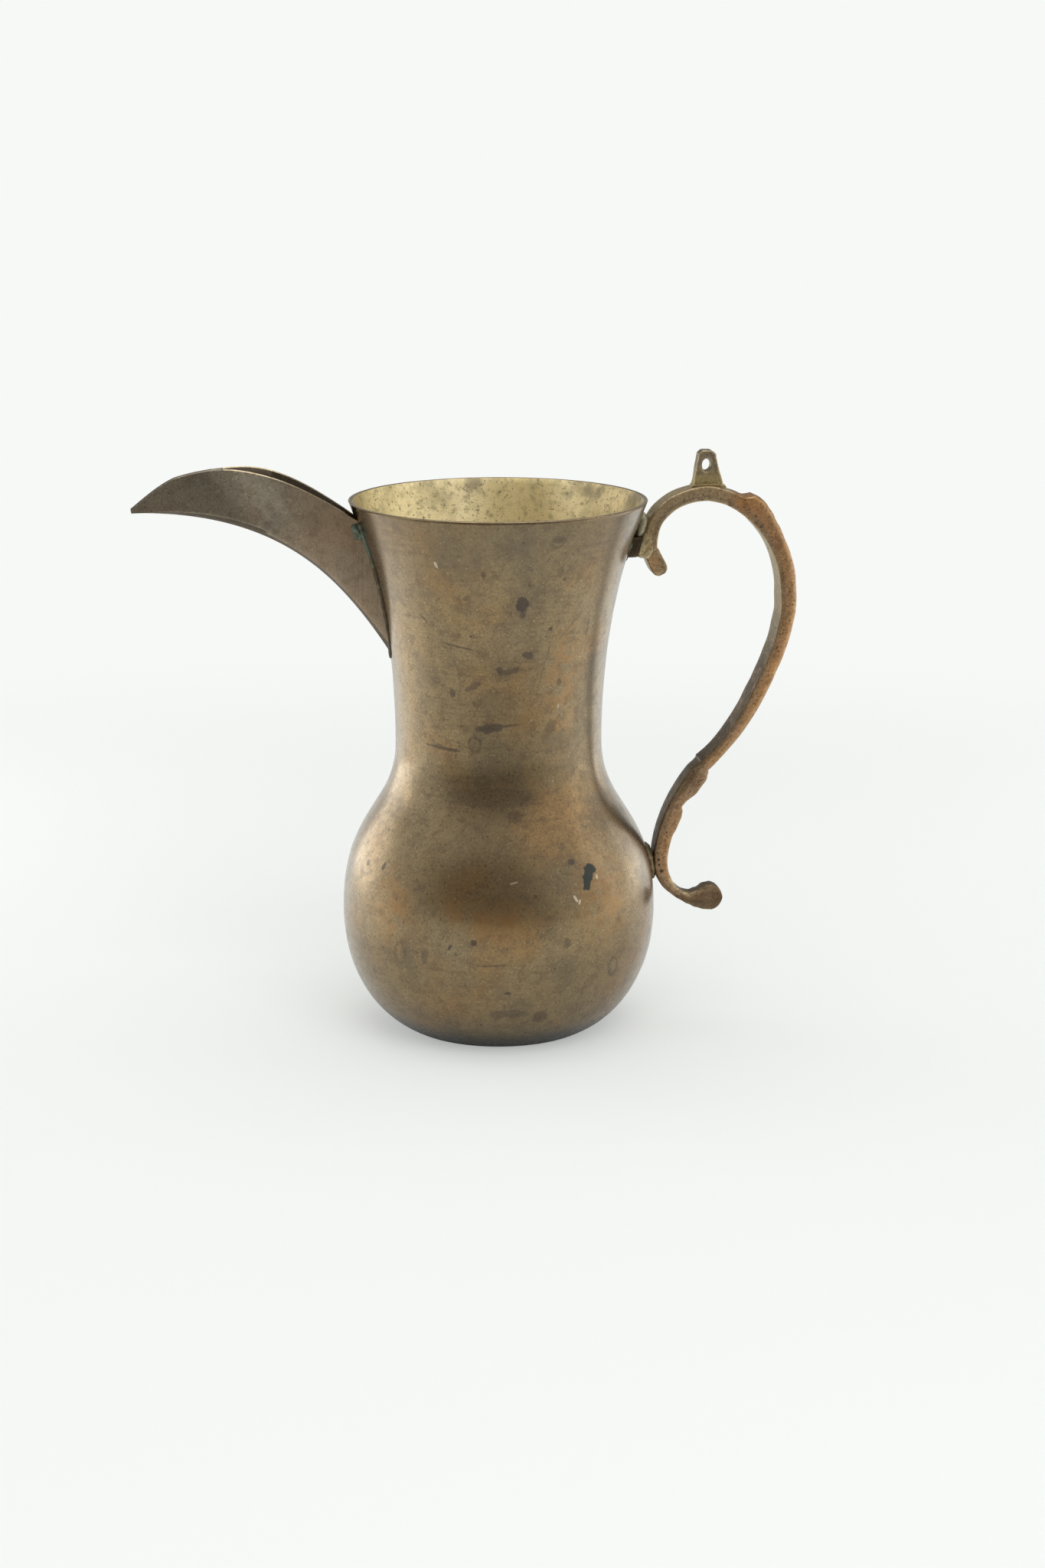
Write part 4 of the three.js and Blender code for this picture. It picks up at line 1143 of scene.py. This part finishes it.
def light_paper(tree, shader):
    """White paper that glows for the camera: fully away from the object and at part strength in its shadow, which
    paints the shadow lighter.
    In reflections it glows at the sides and low at the back, and is dim near the camera and high up."""
    place = add(tree, "TexCoord", out="Object")
    apart = add(tree, "SeparateXYZ", (place,)).node.outputs
    mask = {name: add(tree, "MapRange", (apart[axis], start, full),
                      **SMOOTH) for name, (axis, start, full) in PAPER_MASKS.items()}
    path = add(tree, "LightPath").node.outputs
    reach = add(tree, "VectorMath", (place,), operation="LENGTH", out="Value")
    ring = add(tree, "MapRange", (reach, SHADOW_RING[0], SHADOW_RING[1], SHADOW_LIGHT), **SMOOTH)
    shown = add(tree, "Math", (mask["far"], ring), operation="MAXIMUM")

    left = add(tree, "Math", (mask["left"], mask["behind"]), operation="MULTIPLY")
    side = add(tree, "Math", (left, mask["right"]), operation="MAXIMUM")
    ends = add(tree, "Math", (mask["near"], mask["beyond"]), operation="MAXIMUM")
    middle = add(tree, "Math", (1.0, ends), operation="SUBTRACT")
    beside = add(tree, "Math", (middle, side), operation="MULTIPLY")
    back = add(tree, "Math", (mask["far"], mask["low"]), operation="MULTIPLY")
    bright = add(tree, "Math", (back, beside), operation="MAXIMUM")
    mirrored = add(tree, "Math", (path["Is Glossy Ray"], path["Is Transmission Ray"]), operation="ADD")
    mirrored = add(tree, "Math", (mirrored, bright), operation="MULTIPLY")
    lit = add(tree, "Math", (path["Is Camera Ray"], shown, mirrored), operation="MULTIPLY_ADD", use_clamp=True)

    high = add(tree, "Math", (mask["low"], -BACKDROP_DIM, BACKDROP_DIM), operation="MULTIPLY_ADD")
    dim = add(tree, "Math", (mask["near"], high), operation="MAXIMUM")
    dim = add(tree, "Math", (dim, path["Is Glossy Ray"]), operation="MULTIPLY")
    paper = add(tree, "Mix", {0: dim, 6: rgb("#eff1ef"), 7: rgb("#8c857c")}, data_type="RGBA", out=2)
    tree.links.new(paper, shader.inputs["Base Color"])
    strength = add(tree, "Math", (beside, path["Is Glossy Ray"]), operation="MULTIPLY")
    strength = add(tree, "Math", (strength, SIDE_GLOW, 1.0), operation="MULTIPLY_ADD")
    glow = add(tree, "Emission", {"Color": rgb("#f7f9f7"), "Strength": strength})
    mixed = add(tree, "MixShader", (lit, shader.outputs[0], glow))
    tree.links.new(mixed, tree.nodes["Material Output"].inputs["Surface"])


def make_paper():
    """A pale paper sweep: floor, bend and backdrop."""
    bm = bmesh.new()
    bend = [(BEND_START + BEND_RADIUS * math.sin(a), BEND_RADIUS * (1 - math.cos(a)))
            for a in (k / BEND_STEPS * math.pi / 2 for k in range(BEND_STEPS + 1))]
    line = [(-SWEEP_HALF, 0.0), *bend, (BEND_START + BEND_RADIUS, BACKDROP_TOP)]
    verts = [bm.verts.new((-SWEEP_HALF, y, z)) for y, z in line]
    edges = [bm.edges.new(pair) for pair in zip(verts, verts[1:])]
    moved = bmesh.ops.extrude_edge_only(bm, edges=edges)["geom"]
    bmesh.ops.translate(bm, vec=(2 * SWEEP_HALF, 0, 0),
                        verts=[g for g in moved if isinstance(g, bmesh.types.BMVert)])
    bmesh.ops.recalc_face_normals(bm, faces=bm.faces)
    _, tree, shader = add_stage("paper_sweep", bm, "#f4f6f4", 0.8)
    light_paper(tree, shader)


def make_card():
    """A grey card that only the metal shows, as soft dark bands on the shoulder and belly."""
    bm = bmesh.new()
    bmesh.ops.create_grid(bm, x_segments=1, y_segments=1, size=0.5)
    turn = Vector(CARD_PLACE).to_track_quat("Z", "Y").to_matrix().to_4x4()
    bmesh.ops.transform(bm, matrix=Matrix.Translation(CARD_PLACE) @ turn @ Matrix.Diagonal((*CARD_SIZE, 1, 1)),
                        verts=bm.verts)
    card, _, _ = add_stage("grey_card", bm, "#7d786f", 0.9)
    card.visible_camera = False
    card.visible_diffuse = False
    card.visible_shadow = False


def make_room():
    """A pale world that is dim on the camera's side in reflections and white where the camera sees it."""
    world = bpy.data.worlds.new("studio")
    bpy.context.scene.world = world
    world.use_nodes = True
    tree = world.node_tree
    toward = add(tree, "TexCoord", out="Generated")
    room = add(tree, "VectorMath", (toward, ROOM_SIDE), operation="DOT_PRODUCT", out="Value")
    front = add(tree, "MapRange", (room, ROOM_EDGE[0], ROOM_EDGE[1]), **SMOOTH)
    path = add(tree, "LightPath").node.outputs
    dim = add(tree, "Math", (front, path["Is Glossy Ray"]), operation="MULTIPLY")
    colour = add(tree, "Mix", {0: dim, 6: rgb("#f3f5f3"), 7: rgb("#958f87")}, data_type="RGBA", out=2)
    plain, mirrored, camera = WORLD_LEVELS
    level = add(tree, "MapRange", {"Value": path["Is Glossy Ray"], "To Min": plain, "To Max": mirrored})
    level = add(tree, "Math", (path["Is Camera Ray"], camera, level), operation="MULTIPLY_ADD")
    tree.links.new(colour, tree.nodes["Background"].inputs["Color"])
    tree.links.new(level, tree.nodes["Background"].inputs["Strength"])


def area_light(name, place, aim, size, power):
    """A soft lamp of a width and height in metres and a power in watts, turned to where it aims."""
    data = bpy.data.lights.new(name, "AREA")
    data.energy = power
    data.shape = "RECTANGLE"
    data.size, data.size_y = size
    lamp = bpy.data.objects.new(name, data)
    lamp.location = place
    lamp.rotation_euler = (Vector(aim) - Vector(place)).to_track_quat("-Z", "Y").to_euler()
    lamp.visible_camera = False
    bpy.context.scene.collection.objects.link(lamp)
    return lamp


def make_camera():
    """The camera of the photograph."""
    data = bpy.data.cameras.new("camera")
    data.sensor_width = SENSOR
    data.lens = FOCAL_PIXELS / IMAGE_LONG_SIDE * SENSOR
    camera = bpy.data.objects.new("camera", data)
    camera.location = Vector(CAMERA_PLACE) * MM
    camera.rotation_euler = (math.radians(90 - CAMERA_DIP), 0, math.radians(-CAMERA_TURN))
    bpy.context.scene.collection.objects.link(camera)
    bpy.context.scene.camera = camera


make_paper()
make_card()
make_room()
area_light("top_softbox", (0.0, 0.1, 1.3), (0, 0, 0.05), (1.1, 1.1), 3.9)
area_light("left_softbox", (-0.375, 0.282, 0.13), (0, 0, 0.08), (0.305, 0.24), 0.48)
area_light("right_softbox", (0.95, -0.12, 0.4), (0, 0, 0.08), (0.3, 0.7), 0.45)
area_light("far_right_softbox", (0.43, 0.2, 0.12), (0, 0, 0.08), (0.2, 0.22), 0.18)
fill = area_light("front_fill", (0.1, -0.9, 0.9), (0, 0, 0), (0.9, 0.9), 5.9)
fill.visible_glossy = False
make_camera()
bpy.context.scene.view_settings.view_transform = "Standard"
